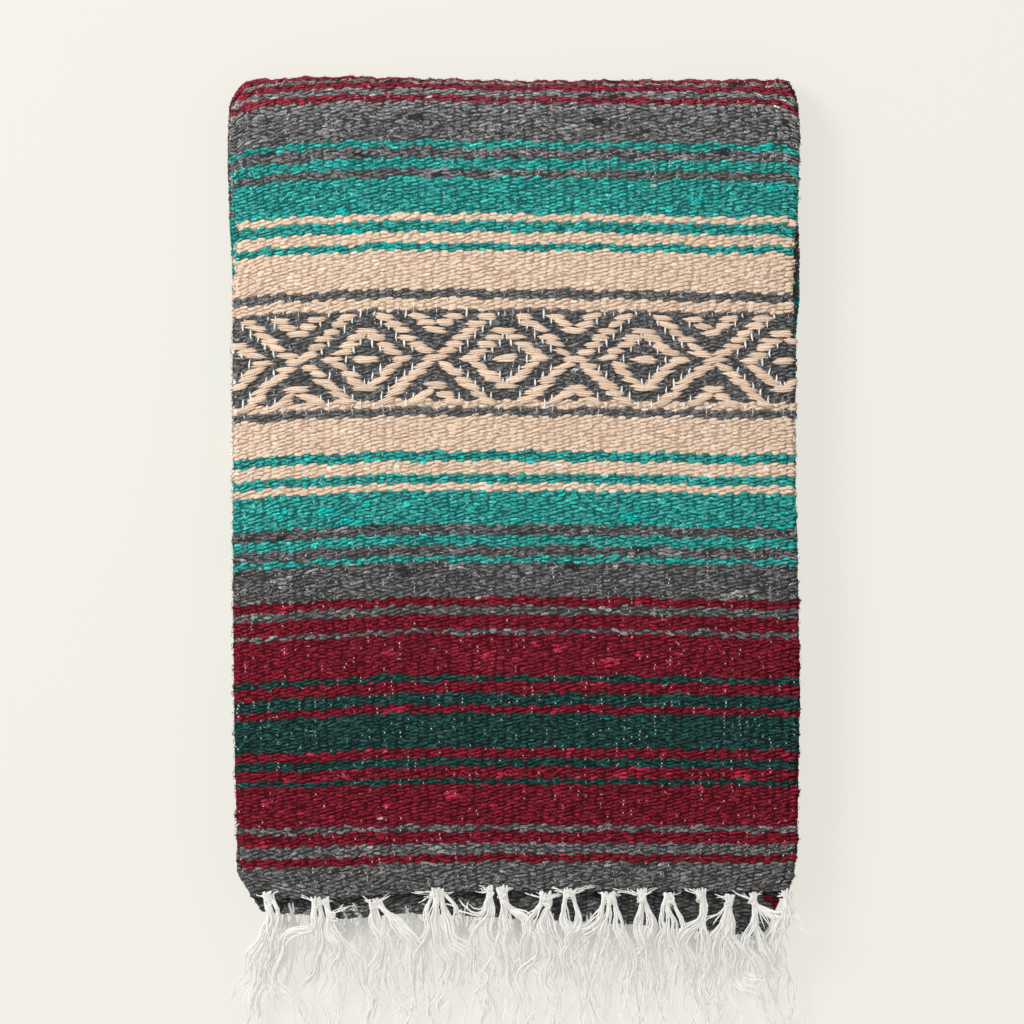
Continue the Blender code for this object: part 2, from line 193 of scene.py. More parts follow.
# Each yarn: its colour, linear, and its spread in brightness; the strength of its mottling; its slubs'
# share and colour; how dark the painted shade in the hollows round it is; how its floats lean and the
# spread of that; how far the tint varies within a float; and how much of the warp shows.
YARN_PARTS = ("base", "spread", "mottle", "slubs", "slub", "hollow_shade", "lean", "leans", "speck", "warp")
YARNS = {
    "gray": ((0.139, 0.136, 0.135), 0.22, 1.0, 0.05, (0.30, 0.30, 0.29), 0.63, 0.07, 0.12, 0.34, 0.09),
    "maroon": ((0.199, 0.0135, 0.027), 0.17, 0.98, 0.04, (0.30, 0.016, 0.038), 0.62, 0.08, 0.09, 0.24, 0.08),
    "green": ((0.0185, 0.058, 0.051), 0.19, 0.95, 0.01, (0.015, 0.13, 0.12), 0.63, 0.05, 0.10, 0.28, 0.14),
    "teal": ((0.042, 0.356, 0.318), 0.18, 0.95, 0.04, (0.02, 0.46, 0.40), 0.64, 0.10, 0.09, 0.26, 0.07),
    "beige": ((0.782, 0.606, 0.457), 0.03, 0.32, 0.03, (0.88, 0.80, 0.70), 0.27, 0.12, 0.06, 0.07, 0.10),
    "charcoal": ((0.152, 0.149, 0.147), 0.18, 0.95, 0.04, (0.26, 0.26, 0.26), 0.54, 0.08, 0.12, 0.30, 0.15),
    "ground": ((0.128, 0.126, 0.125), 0.18, 0.95, 0.04, (0.26, 0.26, 0.26), 0.54, 0.08, 0.12, 0.30, 0.10),
}
YARN_NAMES = tuple(YARNS)
YARN = {part: np.array([row[n] for row in YARNS.values()]) for n, part in enumerate(YARN_PARTS)}
# The power of the painted shade's darkness in the hollows, in red, green and blue: beige turns browner
# there.
BEIGE_SHADE_POWER = (0.8, 1.1, 1.25)
YARN["shade_power"] = np.array([BEIGE_SHADE_POWER if name == "beige" else (1.0, 1.0, 1.0) for name in YARN_NAMES])
WARP_WHITE = (0.71, 0.70, 0.66)
# End B's cotton, tinted darker to make up for its material's stronger painted glow.
LOW_WHITE = (0.64, 0.635, 0.60)

# The motif: nested diamonds of long floats on a charcoal ground. Rows and warps are counted from the middle
# of a diamond.
MOTIF_CENTRE = 300.5
MOTIF_FIRST = 6.6
MOTIF_REPEAT = 18
HALF_REPEAT = MOTIF_REPEAT / 2
MOTIF_ROWS = 6
ROW = 3.95
RING_START = 3.15
RING_STEP = 4.15
RING_WIDE = 2.5
SHORTEST = 0.75
HEART = 1.45
# The two beige stripes beside the motif's ground, this far from its middle.
MOTIF_EDGE = 27.5

# ---- The fringes

# How high the strands lie at a distance in front of the cloth's end.
FALL_A = ((0.0, 33.0), (6.5, 31.8), (24.0, 27.6), (50.0, 14.0), (71.0, 6.8), (86.0, 2.4), (120.0, 1.2))
FALL_B = ((0.0, 23.0), (5.0, 20.5), (15.0, 15.0), (26.0, 7.6), (45.0, 3.2), (64.0, 1.4), (120.0, 1.0))
# Each lock of strands: how many, its width at the root and at the tips, and the points of its line. A point
# is x and how far it lies in front of END_A_Y.
LOCKS_A = (
    (9, 3.4, 7.9, (-140.7, 3.1), (-140.1, 8.8), (-139.6, 20.1), (-142.9, 33.1), (-149.7, 45.5),
     (-156.5, 57.9), (-159.9, 68.1)),
    (9, 3.4, 9.0, (-139.6, 3.1), (-138.4, 10.5), (-137.9, 22.9), (-139.6, 37.0), (-145.2, 54.0),
     (-148.6, 70.9), (-149.7, 88.4)),
    (5, 2.8, 4.5, (-137.9, 3.7), (-134.5, 10.5), (-133.3, 18.4), (-137.3, 28.6), (-140.7, 42.7),
     (-142.9, 62.5), (-140.7, 85.1)),
    (9, 4.5, 5.6, (-112.4, 6.0), (-113.6, 12.7), (-115.3, 20.1), (-122.6, 25.2), (-130.5, 31.4),
     (-135.0, 41.0), (-133.9, 51.2), (-126.6, 62.5), (-118.6, 74.9), (-111.3, 87.3)),
    (6, 3.4, 6.8, (-110.7, 6.0), (-109.6, 13.9), (-109.0, 22.9), (-110.2, 34.2), (-115.8, 48.3),
     (-119.2, 62.5), (-118.1, 79.4), (-121.5, 89.6)),
    (8, 3.4, 12.4, (-107.3, 6.5), (-104.5, 14.4), (-102.8, 22.9), (-96.0, 34.2), (-89.3, 42.7),
     (-85.9, 54.0), (-84.2, 68.1), (-87.6, 85.1)),
    (5, 2.8, 7.9, (-107.3, 6.5), (-105.1, 16.1), (-104.0, 25.2), (-101.1, 34.2), (-103.4, 48.3),
     (-104.5, 65.3), (-100.0, 86.2)),
    (8, 4.5, 9.0, (-80.2, 7.1), (-79.7, 16.1), (-78.0, 25.7), (-72.9, 35.3), (-70.6, 46.6), (-67.2, 59.6),
     (-59.3, 73.8), (-53.7, 87.3)),
    (8, 4.5, 12.4, (-77.4, 7.1), (-71.8, 13.9), (-64.4, 20.6), (-58.2, 27.4), (-55.4, 35.3), (-56.5, 45.5),
     (-53.7, 59.6), (-51.4, 79.4)),
    (6, 2.8, 6.8, (-79.1, 7.1), (-77.4, 15.0), (-76.3, 28.6), (-77.4, 39.9), (-80.2, 52.3), (-81.9, 68.1),
     (-76.3, 88.4)),
    (10, 5.1, 9.0, (-44.6, 0.9), (-44.6, 8.8), (-45.8, 17.3), (-44.6, 27.4), (-40.1, 37.0), (-39.0, 48.3),
     (-42.4, 65.3), (-43.5, 87.3)),
    (9, 4.0, 10.2, (-42.4, 0.9), (-40.1, 8.8), (-37.3, 17.3), (-33.9, 27.4), (-27.7, 37.0), (-22.0, 48.3),
     (-17.5, 62.5), (-16.4, 85.1)),
    (6, 2.3, 4.5, (-46.3, 1.4), (-48.6, 9.3), (-49.7, 20.1), (-53.7, 31.4), (-57.1, 45.5), (-58.2, 62.5),
     (-65.0, 85.1)),
    (4, 2.3, 2.3, (-41.8, 1.4), (-37.3, 4.8), (-33.3, 10.5), (-32.8, 17.3), (-35.6, 20.6)),
    (6, 2.8, 3.4, (-14.1, -0.3), (-15.8, 6.5), (-19.8, 12.2), (-25.4, 15.0), (-30.5, 14.4), (-33.9, 11.0),
     (-36.7, 7.7), (-40.1, 6.0)),
    (5, 2.3, 7.9, (-14.1, -0.3), (-13.0, 7.1), (-12.4, 16.1), (-14.7, 25.7), (-11.9, 37.0), (-14.1, 54.0),
     (-17.5, 73.8), (-14.1, 89.6)),
    (10, 4.5, 10.2, (-7.9, -0.3), (-6.8, 6.0), (-4.5, 13.9), (-4.0, 22.9), (-6.2, 34.2), (-3.4, 48.3),
     (0.0, 65.3), (-2.8, 87.9)),
    (7, 3.4, 6.8, (-6.2, -0.3), (-4.0, 7.1), (0.6, 13.9), (5.1, 18.4), (7.3, 22.9), (5.1, 31.4),
     (9.6, 45.5), (13.0, 62.5), (10.7, 85.1)),
    (3, 1.1, 3.4, (-13.6, 1.4), (-14.1, 12.7), (-19.8, 16.7), (-23.2, 20.6), (-23.2, 28.6), (-19.8, 37.0),
     (-16.4, 48.3), (-18.6, 65.3)),
    (8, 4.0, 7.9, (16.4, 3.1), (14.1, 9.3), (9.6, 14.4), (8.5, 20.6), (14.1, 25.7), (11.9, 34.2),
     (6.2, 42.7), (4.0, 56.8), (7.3, 73.8), (2.8, 88.4)),
    (7, 3.4, 6.8, (19.2, 3.1), (19.8, 9.3), (16.9, 15.0), (13.0, 20.1), (16.9, 25.7), (20.9, 34.2),
     (19.2, 48.3), (23.2, 65.3), (20.9, 87.3)),
    (5, 2.3, 9.0, (17.5, 3.7), (18.6, 12.7), (20.3, 22.9), (23.2, 31.4), (18.6, 42.7), (14.1, 54.0),
     (16.9, 68.1)),
    (9, 3.4, 6.8, (29.4, 0.9), (28.2, 8.2), (27.7, 16.1), (29.4, 23.5), (32.8, 31.4), (31.1, 42.7),
     (35.0, 56.8), (41.2, 70.9), (42.4, 88.4)),
    (7, 2.8, 6.8, (32.2, 1.4), (34.5, 9.3), (36.2, 16.1), (35.6, 22.9), (32.2, 31.4), (36.7, 42.7),
     (42.4, 54.0), (44.6, 68.1), (48.0, 86.2)),
    (8, 3.4, 9.0, (51.4, 2.6), (49.2, 10.5), (45.8, 17.3), (41.2, 21.8), (36.7, 24.0), (33.3, 31.4),
     (29.9, 45.5), (31.1, 62.5)),
    (8, 3.4, 9.0, (53.7, 2.6), (53.1, 11.6), (51.4, 21.8), (50.3, 31.4), (45.8, 42.7), (43.5, 56.8),
     (48.0, 73.8), (46.9, 89.6)),
    (7, 3.4, 10.2, (55.4, 2.6), (57.1, 11.6), (58.2, 20.6), (63.3, 29.7), (66.1, 39.9), (63.8, 54.0),
     (67.2, 70.9), (70.6, 88.4)),
    (8, 2.8, 9.0, (70.6, 1.4), (71.8, 8.2), (70.6, 16.1), (69.5, 25.7), (74.0, 37.0), (77.4, 51.2),
     (75.7, 68.1), (79.1, 88.4)),
    (8, 2.8, 6.8, (72.3, 1.4), (74.6, 9.3), (77.4, 15.6), (76.8, 22.9), (73.4, 31.4), (68.4, 41.0),
     (70.6, 56.8), (75.1, 73.8)),
    (8, 3.4, 10.2, (86.4, 3.7), (86.4, 11.6), (88.1, 21.8), (91.5, 31.4), (94.4, 42.7), (91.0, 56.8),
     (93.2, 73.8), (98.9, 89.6)),
    (5, 2.8, 4.5, (85.9, 3.7), (83.1, 11.6), (81.9, 18.4), (85.3, 22.9), (84.2, 31.4), (79.7, 41.0),
     (81.9, 56.8), (86.4, 73.8)),
    (4, 2.3, 3.4, (88.1, 3.7), (91.5, 10.5), (94.4, 16.1), (93.2, 20.6), (95.5, 31.4), (100.0, 42.7),
     (102.3, 59.6)),
    (10, 4.0, 7.9, (104.5, 1.4), (106.2, 8.2), (104.0, 15.6), (99.4, 21.8), (96.0, 28.6), (97.7, 38.7),
     (103.4, 51.2), (105.7, 68.1), (104.5, 88.4)),
    (6, 2.8, 9.0, (106.2, 1.4), (107.9, 9.3), (106.8, 18.4), (105.7, 28.6), (109.0, 39.9), (111.3, 54.0),
     (115.8, 70.9), (113.6, 88.4)),
    (8, 3.4, 6.8, (121.5, 4.8), (119.8, 11.6), (117.0, 19.5), (114.1, 29.7), (111.3, 39.9), (107.9, 51.2),
     (111.3, 65.3), (115.8, 85.1)),
    (9, 3.4, 11.3, (122.0, 4.8), (121.5, 13.9), (122.6, 24.0), (124.3, 34.2), (126.0, 43.2), (131.6, 51.2),
     (138.4, 56.8), (144.1, 65.3), (148.6, 85.1)),
    (2, 0.8, 1.7, (121.5, 6.0), (117.5, 11.6), (111.3, 17.8), (104.5, 22.9), (98.9, 27.4), (95.5, 30.8)),
    (5, 2.3, 7.9, (120.9, 5.4), (119.8, 16.1), (119.8, 28.6), (118.1, 41.0), (120.3, 54.0), (124.9, 68.1),
     (126.0, 88.4)),
    (12, 3.4, 5.6, (134.5, 3.7), (136.2, 8.2), (140.1, 12.2), (146.3, 13.9), (152.5, 15.6), (157.1, 18.4),
     (159.3, 22.9)),
    (9, 2.8, 5.6, (135.0, 4.3), (136.7, 10.5), (136.7, 18.4), (136.2, 26.3), (140.7, 34.2), (148.0, 43.2),
     (154.8, 54.0), (158.8, 65.8), (161.0, 82.2)),
    (6, 2.3, 7.9, (134.5, 4.3), (135.0, 12.7), (133.9, 21.8), (132.8, 31.4), (136.2, 42.7), (139.6, 56.8),
     (142.9, 70.9), (146.3, 88.4)),
    (8, 3.4, 6.8, (153.7, 1.4), (154.2, 7.7), (157.1, 13.9), (160.5, 20.1), (162.7, 27.4)),
    (7, 3.4, 5.6, (153.1, 2.0), (153.1, 9.3), (151.4, 17.3), (149.2, 25.7), (145.8, 34.2), (144.1, 41.0)),
    (6, 3.4, 6.8, (154.8, 2.0), (155.9, 9.3), (154.2, 18.4), (150.9, 28.6), (148.6, 39.9), (152.0, 54.0),
     (155.4, 68.1)),
)
LOCKS_B = (
    (7, 3.4, 9.0, (-126.6, 9.3), (-125.4, 16.1), (-123.7, 24.0), (-127.1, 35.3), (-130.5, 48.3),
     (-127.1, 62.5)),
    (6, 3.4, 9.0, (-97.7, 11.0), (-95.5, 16.1), (-93.2, 22.9), (-96.6, 34.2), (-100.0, 48.3),
     (-97.7, 62.5)),
    (8, 4.0, 7.9, (-92.1, 9.3), (-88.7, 14.4), (-85.3, 20.6), (-86.4, 27.4), (-81.9, 33.1), (-77.4, 39.9),
     (-78.5, 48.3), (-81.9, 55.7), (-79.7, 69.2)),
    (5, 2.3, 3.4, (-90.4, 9.3), (-86.4, 11.0), (-83.6, 15.0), (-84.2, 18.4)),
    (7, 2.8, 4.5, (-61.6, 11.0), (-59.9, 16.1), (-55.9, 21.2), (-51.4, 24.0), (-50.3, 31.4), (-52.5, 42.7),
     (-49.2, 56.8), (-51.4, 70.9)),
    (5, 2.3, 3.4, (-59.3, 11.0), (-57.1, 15.6), (-57.6, 20.6), (-53.7, 27.4), (-49.2, 37.0), (-46.9, 54.0)),
    (8, 4.5, 10.2, (-29.4, 12.2), (-29.9, 20.1), (-27.7, 28.6), (-31.1, 39.9), (-28.8, 54.0),
     (-32.2, 68.1)),
    (8, 4.5, 10.2, (2.3, 13.3), (1.7, 20.6), (5.1, 29.7), (2.3, 41.0), (5.6, 54.0), (2.8, 68.1)),
    (7, 4.0, 9.0, (19.8, 14.4), (21.5, 21.8), (19.8, 31.4), (23.2, 42.7), (20.9, 56.8), (25.4, 69.2)),
    (7, 4.0, 10.2, (42.4, 15.6), (41.2, 22.9), (44.6, 33.1), (41.8, 44.4), (44.6, 56.8), (42.4, 69.2)),
    (8, 2.8, 6.8, (60.5, 11.0), (61.6, 18.4), (63.8, 27.4), (66.7, 37.0), (65.0, 48.3), (68.4, 62.5),
     (67.2, 69.2)),
    (4, 1.7, 3.4, (62.1, 11.0), (65.5, 13.9), (66.7, 20.6), (70.6, 26.3)),
    (7, 4.0, 9.0, (79.1, 17.8), (80.8, 25.2), (79.1, 34.2), (83.1, 45.5), (80.8, 59.6), (84.2, 70.9)),
    (7, 4.0, 7.9, (97.7, 19.5), (98.9, 26.3), (101.1, 34.2), (98.9, 45.5), (102.3, 59.6), (100.0, 71.5)),
    (8, 2.8, 5.6, (110.7, 10.5), (111.3, 16.1), (112.4, 22.9), (111.3, 31.4), (114.7, 41.0), (113.6, 54.0),
     (117.0, 68.1)),
    (8, 3.4, 5.1, (130.5, 8.8), (133.3, 11.6), (133.9, 16.7), (131.1, 22.9), (129.9, 31.4), (132.8, 41.0),
     (131.6, 54.0), (136.2, 68.1)),
    (4, 1.7, 3.4, (129.4, 8.8), (126.0, 11.0), (122.6, 16.1), (122.0, 19.5)),
    (8, 4.0, 9.0, (142.9, 24.6), (140.7, 30.8), (142.9, 38.7), (146.3, 48.3), (144.1, 59.6), (147.5, 72.6)),
    (6, 3.4, 5.6, (148.6, 14.4), (150.9, 20.1), (149.2, 28.6), (145.2, 37.0), (142.9, 48.3)),
)
# Ends of warp that are drawn into a bunch: the bunch's root, then the far end of each.
THREADS = (
    ((-140.1, 3.7), (-145.2, 3.1), (-134.5, 1.4), (-140.1, 1.4)),
    ((-111.3, 6.5), (-120.9, 3.7), (-117.0, 4.8), (-105.1, 4.3), (-104.0, 6.5)),
    ((-102.8, 12.2), (-96.0, 8.8), (-92.1, 9.9)),
    ((-79.7, 7.1), (-85.9, 3.7), (-84.2, 5.4), (-69.5, 2.0), (-70.6, 4.3)),
    ((-44.6, 1.4), (-56.5, 2.0), (-54.8, 7.1), (-35.6, 2.0), (-39.0, 3.1)),
    ((-14.1, 0.3), (-19.8, -2.0), (-20.9, 0.9), (-17.5, -0.8)),
    ((-7.3, -0.3), (-3.4, -0.8), (-0.6, 0.3)),
    ((17.5, 3.7), (12.4, 2.0), (6.8, 1.4), (25.4, 1.4), (26.6, 3.7), (23.2, 2.0)),
    ((30.5, 0.9), (21.5, -0.8), (23.7, 0.3), (45.2, -2.0), (41.2, -0.3), (36.7, 0.3)),
    ((53.7, 3.1), (48.0, 2.0), (60.5, 2.6)),
    ((71.2, 2.0), (64.4, 0.3), (57.6, -0.3), (81.4, -0.8), (79.1, 0.3), (72.9, -0.3)),
    ((87.6, 3.7), (83.1, 1.4), (92.1, 2.0)),
    ((104.5, 1.4), (94.4, -0.8), (97.7, -0.3), (108.5, -0.3), (103.4, -0.3)),
    ((121.5, 4.8), (112.4, 2.6), (114.7, 3.7), (124.3, 3.7)),
    ((133.9, 4.3), (123.2, 1.4), (127.1, 2.6), (139.0, 1.4), (136.2, 2.0)),
    ((154.2, 1.4), (149.7, 2.6), (146.9, 3.7)),
)


def read(rows, value, column=1):
    """One column of a table, read between its rows."""
    return np.interp(value, [row[0] for row in rows], [row[column] for row in rows])


def group_height(x, y):
    share = np.clip((y - FRONT_FOLD_Y) / (FOLD_Y - FRONT_FOLD_Y), 0, 1)
    swell = GROUP_SWELL * (1 - (2 * share - 1) ** 4)
    across = np.minimum(np.abs(x) / read(EDGES, y, COLUMN[1]), 1)
    ripples = np.sin(WAVE_ACROSS[0] * x + WAVE_ACROSS[1] * y) * np.sin(WAVE_ALONG * y + WAVE_START)
    wave = WAVE * ripples * np.sin(math.pi * share)
    return (GROUP_FRONT + (GROUP_BACK - GROUP_FRONT) * share + swell) * (1 - SIDE_SINK * across**6 + wave)


def stack_top(x):
    return GROUPS * group_height(x, END_A_Y)


def on_back_line(x, y):
    return y + read(BACK_LINE, x) * np.maximum(0, 1 + y / BACK_LINE_FADE) ** 2


def end_a(x):
    return END_A_Y + read(END_A_LINE, x)


def end_b(x):
    return read(END_B_LINE, x)


def droop(x, y):
    """How far end B hangs at a place in front of the stack."""
    past = np.maximum(FRONT_FOLD_Y - group_height(x, FRONT_FOLD_Y) - y, 0)
    return past**2 / (2 * DROOP_RADIUS)


def end_b_droop(x):
    return droop(x, end_b(x))


def end_b_top(x):
    return (GROUPS - 1) * group_height(x, END_A_Y) - end_b_droop(x)


# ---- How the rows arch: they droop towards both sides, most of all round the back corners

ARCH = (
    # along, left, right, left edge, right edge
    (0.0, 0.0, 0.0, 0.0, 0.0),
    (16.0, 2.4, 0.6, 0.0, 0.0),
    (165.0, 3.0, 2.6, 0.0, 0.0),
    (270.0, 4.6, 4.0, 0.4, 0.0),
    (340.0, 4.6, 4.0, 1.4, 0.6),
    (377.0, 4.0, 2.4, 2.6, 2.4),
    (415.0, 3.6, 1.8, 5.6, 3.4),
    (440.0, 3.2, 1.8, 8.0, 4.2),
    (470.0, 2.0, 1.0, 6.0, 3.0),
    (492.0, 0.0, 0.0, 0.0, 0.0),
)
ARCH_LEFT_FROM = -50.0
ARCH_POWER = 2.5
ARCH_EDGE = 4.5
SAG_X = (-152.0, -110.0, -65.0, 0.0, 110.0, 152.0)
SAG = (
    # along, and how far the rows sag beyond the arch at each of SAG_X
    (31.0, 0.0, 0.0, 0.0, 0.0, 0.0, 0.0),
    (54.0, -0.3, 1.3, 0.0, 0.0, 0.5, 0.0),
    (76.0, 1.4, 2.2, 0.0, 0.0, 0.2, 0.2),
    (100.0, 2.5, 1.8, -0.3, 0.0, 0.5, 0.7),
    (144.0, 2.7, 2.2, 0.2, 0.0, 0.2, 0.0),
    (189.0, 2.2, 1.6, -0.4, 0.1, 0.2, -0.8),
    (212.0, 2.8, 2.1, 0.0, 0.9, 1.3, 0.0),
    (234.0, 1.3, 1.4, 0.4, 0.3, 0.4, -1.1),
    (280.0, 0.5, 1.0, 0.4, 0.5, 0.5, -1.6),
    (347.0, 0.8, 1.0, 0.0, 0.4, 0.6, -1.0),
    (415.0, 1.3, 0.8, -0.4, 0.1, 1.0, 0.3),
    (446.0, 0.9, 0.8, -0.3, -0.3, 0.6, 0.4),
    (450.0, 1.0, 1.0, 0.0, 0.0, 1.1, 1.0),
    (455.0, 2.7, 1.0, 0.6, 0.6, 2.0, 2.0),
    (461.0, 4.4, 2.6, 2.2, 2.2, 3.8, 3.6),
    (465.0, 4.4, 3.3, 3.0, 3.0, 4.4, 4.0),
    (485.0, 0.0, 0.0, 0.0, 0.0, 0.0, 0.0),
)
# Slow unevenness of the rows, as (size, radians a mm across, radians a mm along, start).
UNEVEN = (
    (0.28, 0.115, 0.050, 0.4),
    (0.22, 0.190, -0.110, 2.1),
    (0.20, 0.330, 0.170, 4.0),
    (0.14, 0.610, 0.290, 1.2),
)
# Bumps of the selvedges and of the back fold, as (size, radians a mm, start), and where each one starts.
RIPPLES = ((0.34, 0.52, 0.3), (0.28, 0.23, 2.0), (0.20, 1.15, 4.0))
SIDE_RIPPLE = {-1: 1.0, 1: 2.2}
FOLD_RIPPLE = 1.7
FOLD_RIPPLE_SIZE = 1.2


def arch(x, along):
    """How far a row lies in front of a straight line."""
    left = np.maximum((ARCH_LEFT_FROM - x) / (ARCH_LEFT_FROM + HALF_WIDE), 0) ** ARCH_POWER
    right = np.maximum(x / HALF_WIDE, 0) ** ARCH_POWER
    near_left = np.exp(-np.maximum(x + HALF_WIDE, 0) / ARCH_EDGE)
    near_right = np.exp(-np.maximum(HALF_WIDE - x, 0) / ARCH_EDGE)
    shares = (left, right, near_left, near_right)
    arched = sum(read(ARCH, along, n) * share for n, share in enumerate(shares, 1))
    near = np.eye(len(SAG_X))
    return arched + sum(read(SAG, along, n) * np.interp(x, SAG_X, at) for n, at in enumerate(near, 1))


def uneven(across, along):
    return sum(size * np.sin(a * across + b * along + start) for size, a, b, start in UNEVEN)


def ripple(place, start):
    return sum(size * np.sin(turn * place + first * start) for size, turn, first in RIPPLES)


# ---- The surfaces


def in_rows(*parts):
    """Arrays and single values as the rows of one array."""
    return np.array(np.broadcast_arrays(*parts))


def back_turn(along):
    """The angle round the back fold, from straight up to straight down."""
    return math.pi / 2 - np.clip(along - TOP_RUN, 0, BACK_RUN) / (2 * GROUP_BACK)


def outer_path(along, x):
    """The outermost sheet's y, z and inward direction at a place along its path."""
    height = GROUPS * group_height(x, np.clip(END_A_Y + along, END_A_Y, FOLD_Y))
    end_line = read(END_A_LINE, x) * np.clip(1 - along / END_A_FADE, 0, 1) ** 2
    top = in_rows(END_A_Y + along + end_line, height, 0.0, -1.0)
    turn = back_turn(along)
    back_y = FOLD_Y + 2 * GROUP_BACK * np.cos(turn)
    back_z = GROUPS * group_height(x, FOLD_Y) * (1 + np.sin(turn)) / 2
    back = in_rows(back_y, back_z, -np.cos(turn), -np.sin(turn))
    past = along - UNDER_START
    under = in_rows(FOLD_Y - past, 0.0, 0.0, 1.0)
    radius = group_height(x, FRONT_FOLD_Y) - GAP / 2
    angle = np.maximum(past - UNDER_RUN, 0) / (FRONT_RUN / math.pi)
    front_y = FRONT_FOLD_Y - radius * np.sin(angle)
    front = in_rows(front_y, radius * (1 - np.cos(angle)), np.sin(angle), np.cos(angle))
    return np.select([along < TOP_RUN, past <= 0, past <= UNDER_RUN], [top, back, under], front)


def outer_edge(side, flat_y, along, on_fold):
    """Where the outermost sheet ends on one side."""
    drawn_in = read(DRAWN_IN, flat_y, COLUMN[side]) + ripple(along, SIDE_RIPPLE[side])
    return read(EDGES, flat_y, COLUMN[side]) - side * (CORNER[side] * on_fold + drawn_in * (along < TOP_RUN))


def outer_surface(across, along):
    """The outermost sheet, with its selvedge, its end and the nose on its left edge rounded over."""
    corners = (0, TOP_RUN, TOP_RUN + BACK_RUN / 2, UNDER_START, FRONT_START)
    flat_y = np.interp(along, corners, (END_A_Y, FOLD_Y, 0, FOLD_Y, FRONT_FOLD_Y))
    on_fold = np.cos(back_turn(along)) ** 2
    left = outer_edge(-1, flat_y, along, on_fold)
    right = outer_edge(1, flat_y, along, on_fold) - SELVEDGE
    nose = (group_height(left, flat_y) - GAP) / 2
    x = right + (left + nose - right) * np.clip(across / SPAN, 0, 1)
    over_end = np.maximum(-along, 0) / END_ROUND
    along = np.maximum(along, 0)
    y, z, inward_y, inward_z = outer_path(along - arch(x, along), x)
    past_left = np.maximum(across - SPAN, 0) / nose
    past_right = np.maximum(-across, 0) / SELVEDGE
    depth = nose * (1 - np.cos(past_left)) + SELVEDGE * (1 - np.cos(past_right))
    x = x - nose * np.sin(past_left) + SELVEDGE * np.sin(past_right)
    y = on_back_line(x, y + inward_y * depth) - END_ROUND * np.sin(over_end)
    y = y + FOLD_RIPPLE_SIZE * ripple(x, FOLD_RIPPLE) * on_fold
    return np.stack((x, y, z + inward_z * depth - END_ROUND * (1 - np.cos(over_end))), -1)


def peek(side, y):
    """How far the lower groups stick out past the top one."""
    low, high, far = PEEK[side]
    from_middle = np.abs((y - low) / (high - low) - 0.5)
    return far * np.clip(PEEK_RAMP * (0.5 - from_middle), 0, 1)


def round_over(around, half):
    """How far back and how far up a place lies on a round edge of half a height, which then runs inward."""
    angle = np.clip(around / half, -math.pi / 2, math.pi / 2)
    inward = np.maximum(np.abs(around) - half * math.pi / 2, 0)
    return inward + half * (1 - np.cos(angle)), half * np.sin(angle)


def band_surface(low, high, setback, side):
    """A rounded edge between two levels of the stack, in group heights out from its middle. The outer
    levels go on round the front fold."""
    outermost = math.ceil(high)
    back_run = math.pi * GROUP_BACK * outermost

    def surface(around, along):
        past = along - TOP_RUN
        past_under = np.maximum(past - back_run - UNDER_RUN, 0) * (outermost > 1)
        turn = math.pi / 2 - np.clip(past, 0, back_run) / (GROUP_BACK * outermost)
        flat_y = np.where(past < 0, FOLD_Y + past, np.minimum(FOLD_Y, FOLD_Y + back_run - past))
        flat_y = np.maximum(flat_y, END_A_Y)
        out_at_top = -read(DRAWN_IN, flat_y, COLUMN[side]) if outermost > 1 else peek(side, flat_y)
        corner = CORNER[side] * np.cos(turn) ** 2 * min(high, 1)
        edge = read(EDGES, flat_y, COLUMN[side]) + side * (out_at_top * (past < 0) - corner)
        height = group_height(edge, flat_y)
        back, up = round_over(around, (high - low) / 2 * height)
        x = edge - side * (setback + back)
        out = (low + high) / 2 * height + side * up
        y = np.where(past_under > 0, FRONT_FOLD_Y, flat_y) + out * np.cos(turn) * GROUP_BACK / height
        z = 2 * height + out * np.sin(turn)
        front = past_under / GROUP_FRONT
        y = np.where(past_under > 0, FRONT_FOLD_Y - (out - height) * np.sin(front), y)
        z = np.where(past_under > 0, height - (out - height) * np.cos(front), z)
        return np.stack((x, on_back_line(x, y), z), -1)

    return surface


def end_layer_surface(low, high, setback, line, top, span):
    """A rounded end between two levels of its group, in layers. along is round the end."""

    def surface(across, along):
        x = np.interp(across, (0, SPAN), (span[1], span[0]))
        height = group_height(x, END_A_Y)
        back, up = round_over(along, (high - low) / 2 / GROUP_LAYERS * height)
        middle = top(x) - (GROUP_LAYERS - (low + high) / 2) / GROUP_LAYERS * height
        return np.stack((x, line(x) + setback + back, middle + up), -1)

    return surface


def end_b_surface(across, along):
    """The top of end B and its rounded sides and end. along is from its end, backwards."""
    x = np.interp(across, (0, SPAN), (END_B_SPAN[1], END_B_SPAN[-1]))
    y = end_b(x) + np.maximum(along, 0)
    over_end = np.maximum(-along, 0) / END_ROUND
    inside = {-1: SPAN - across, 1: across}
    lean, past = {}, {}
    for side, far in inside.items():
        lean[side] = END_B_LEAN[side] * np.exp(-np.maximum(far, 0) / END_B_LEAN_FADE)
        past[side] = np.maximum(-far, 0) / END_B_ROUND[1]
    x = x + (lean[1] - lean[-1]) * np.minimum(along, END_B_LEAN_RUN)
    x = x + END_B_ROUND[0] * (np.sin(past[1]) - np.sin(past[-1]))
    depth = END_B_ROUND[1] * (2 - np.cos(past[-1]) - np.cos(past[1])) + END_ROUND * (1 - np.cos(over_end))
    z = (GROUPS - 1) * group_height(x, END_A_Y) - droop(x, y) - depth
    return np.stack((x, y - END_ROUND * np.sin(over_end), z), -1)


def unit(vectors):
    return vectors / np.maximum(np.linalg.norm(vectors, axis=-1, keepdims=True), 1e-9)


def lifted(surface, across, along, lift):
    """Points at a height over a surface."""
    step = 0.05
    at = surface(across, along)
    outward = np.cross(surface(across, along + step) - at, surface(across + step, along) - at)
    return at + lift[..., None] * unit(outward)


# ---- Meshes

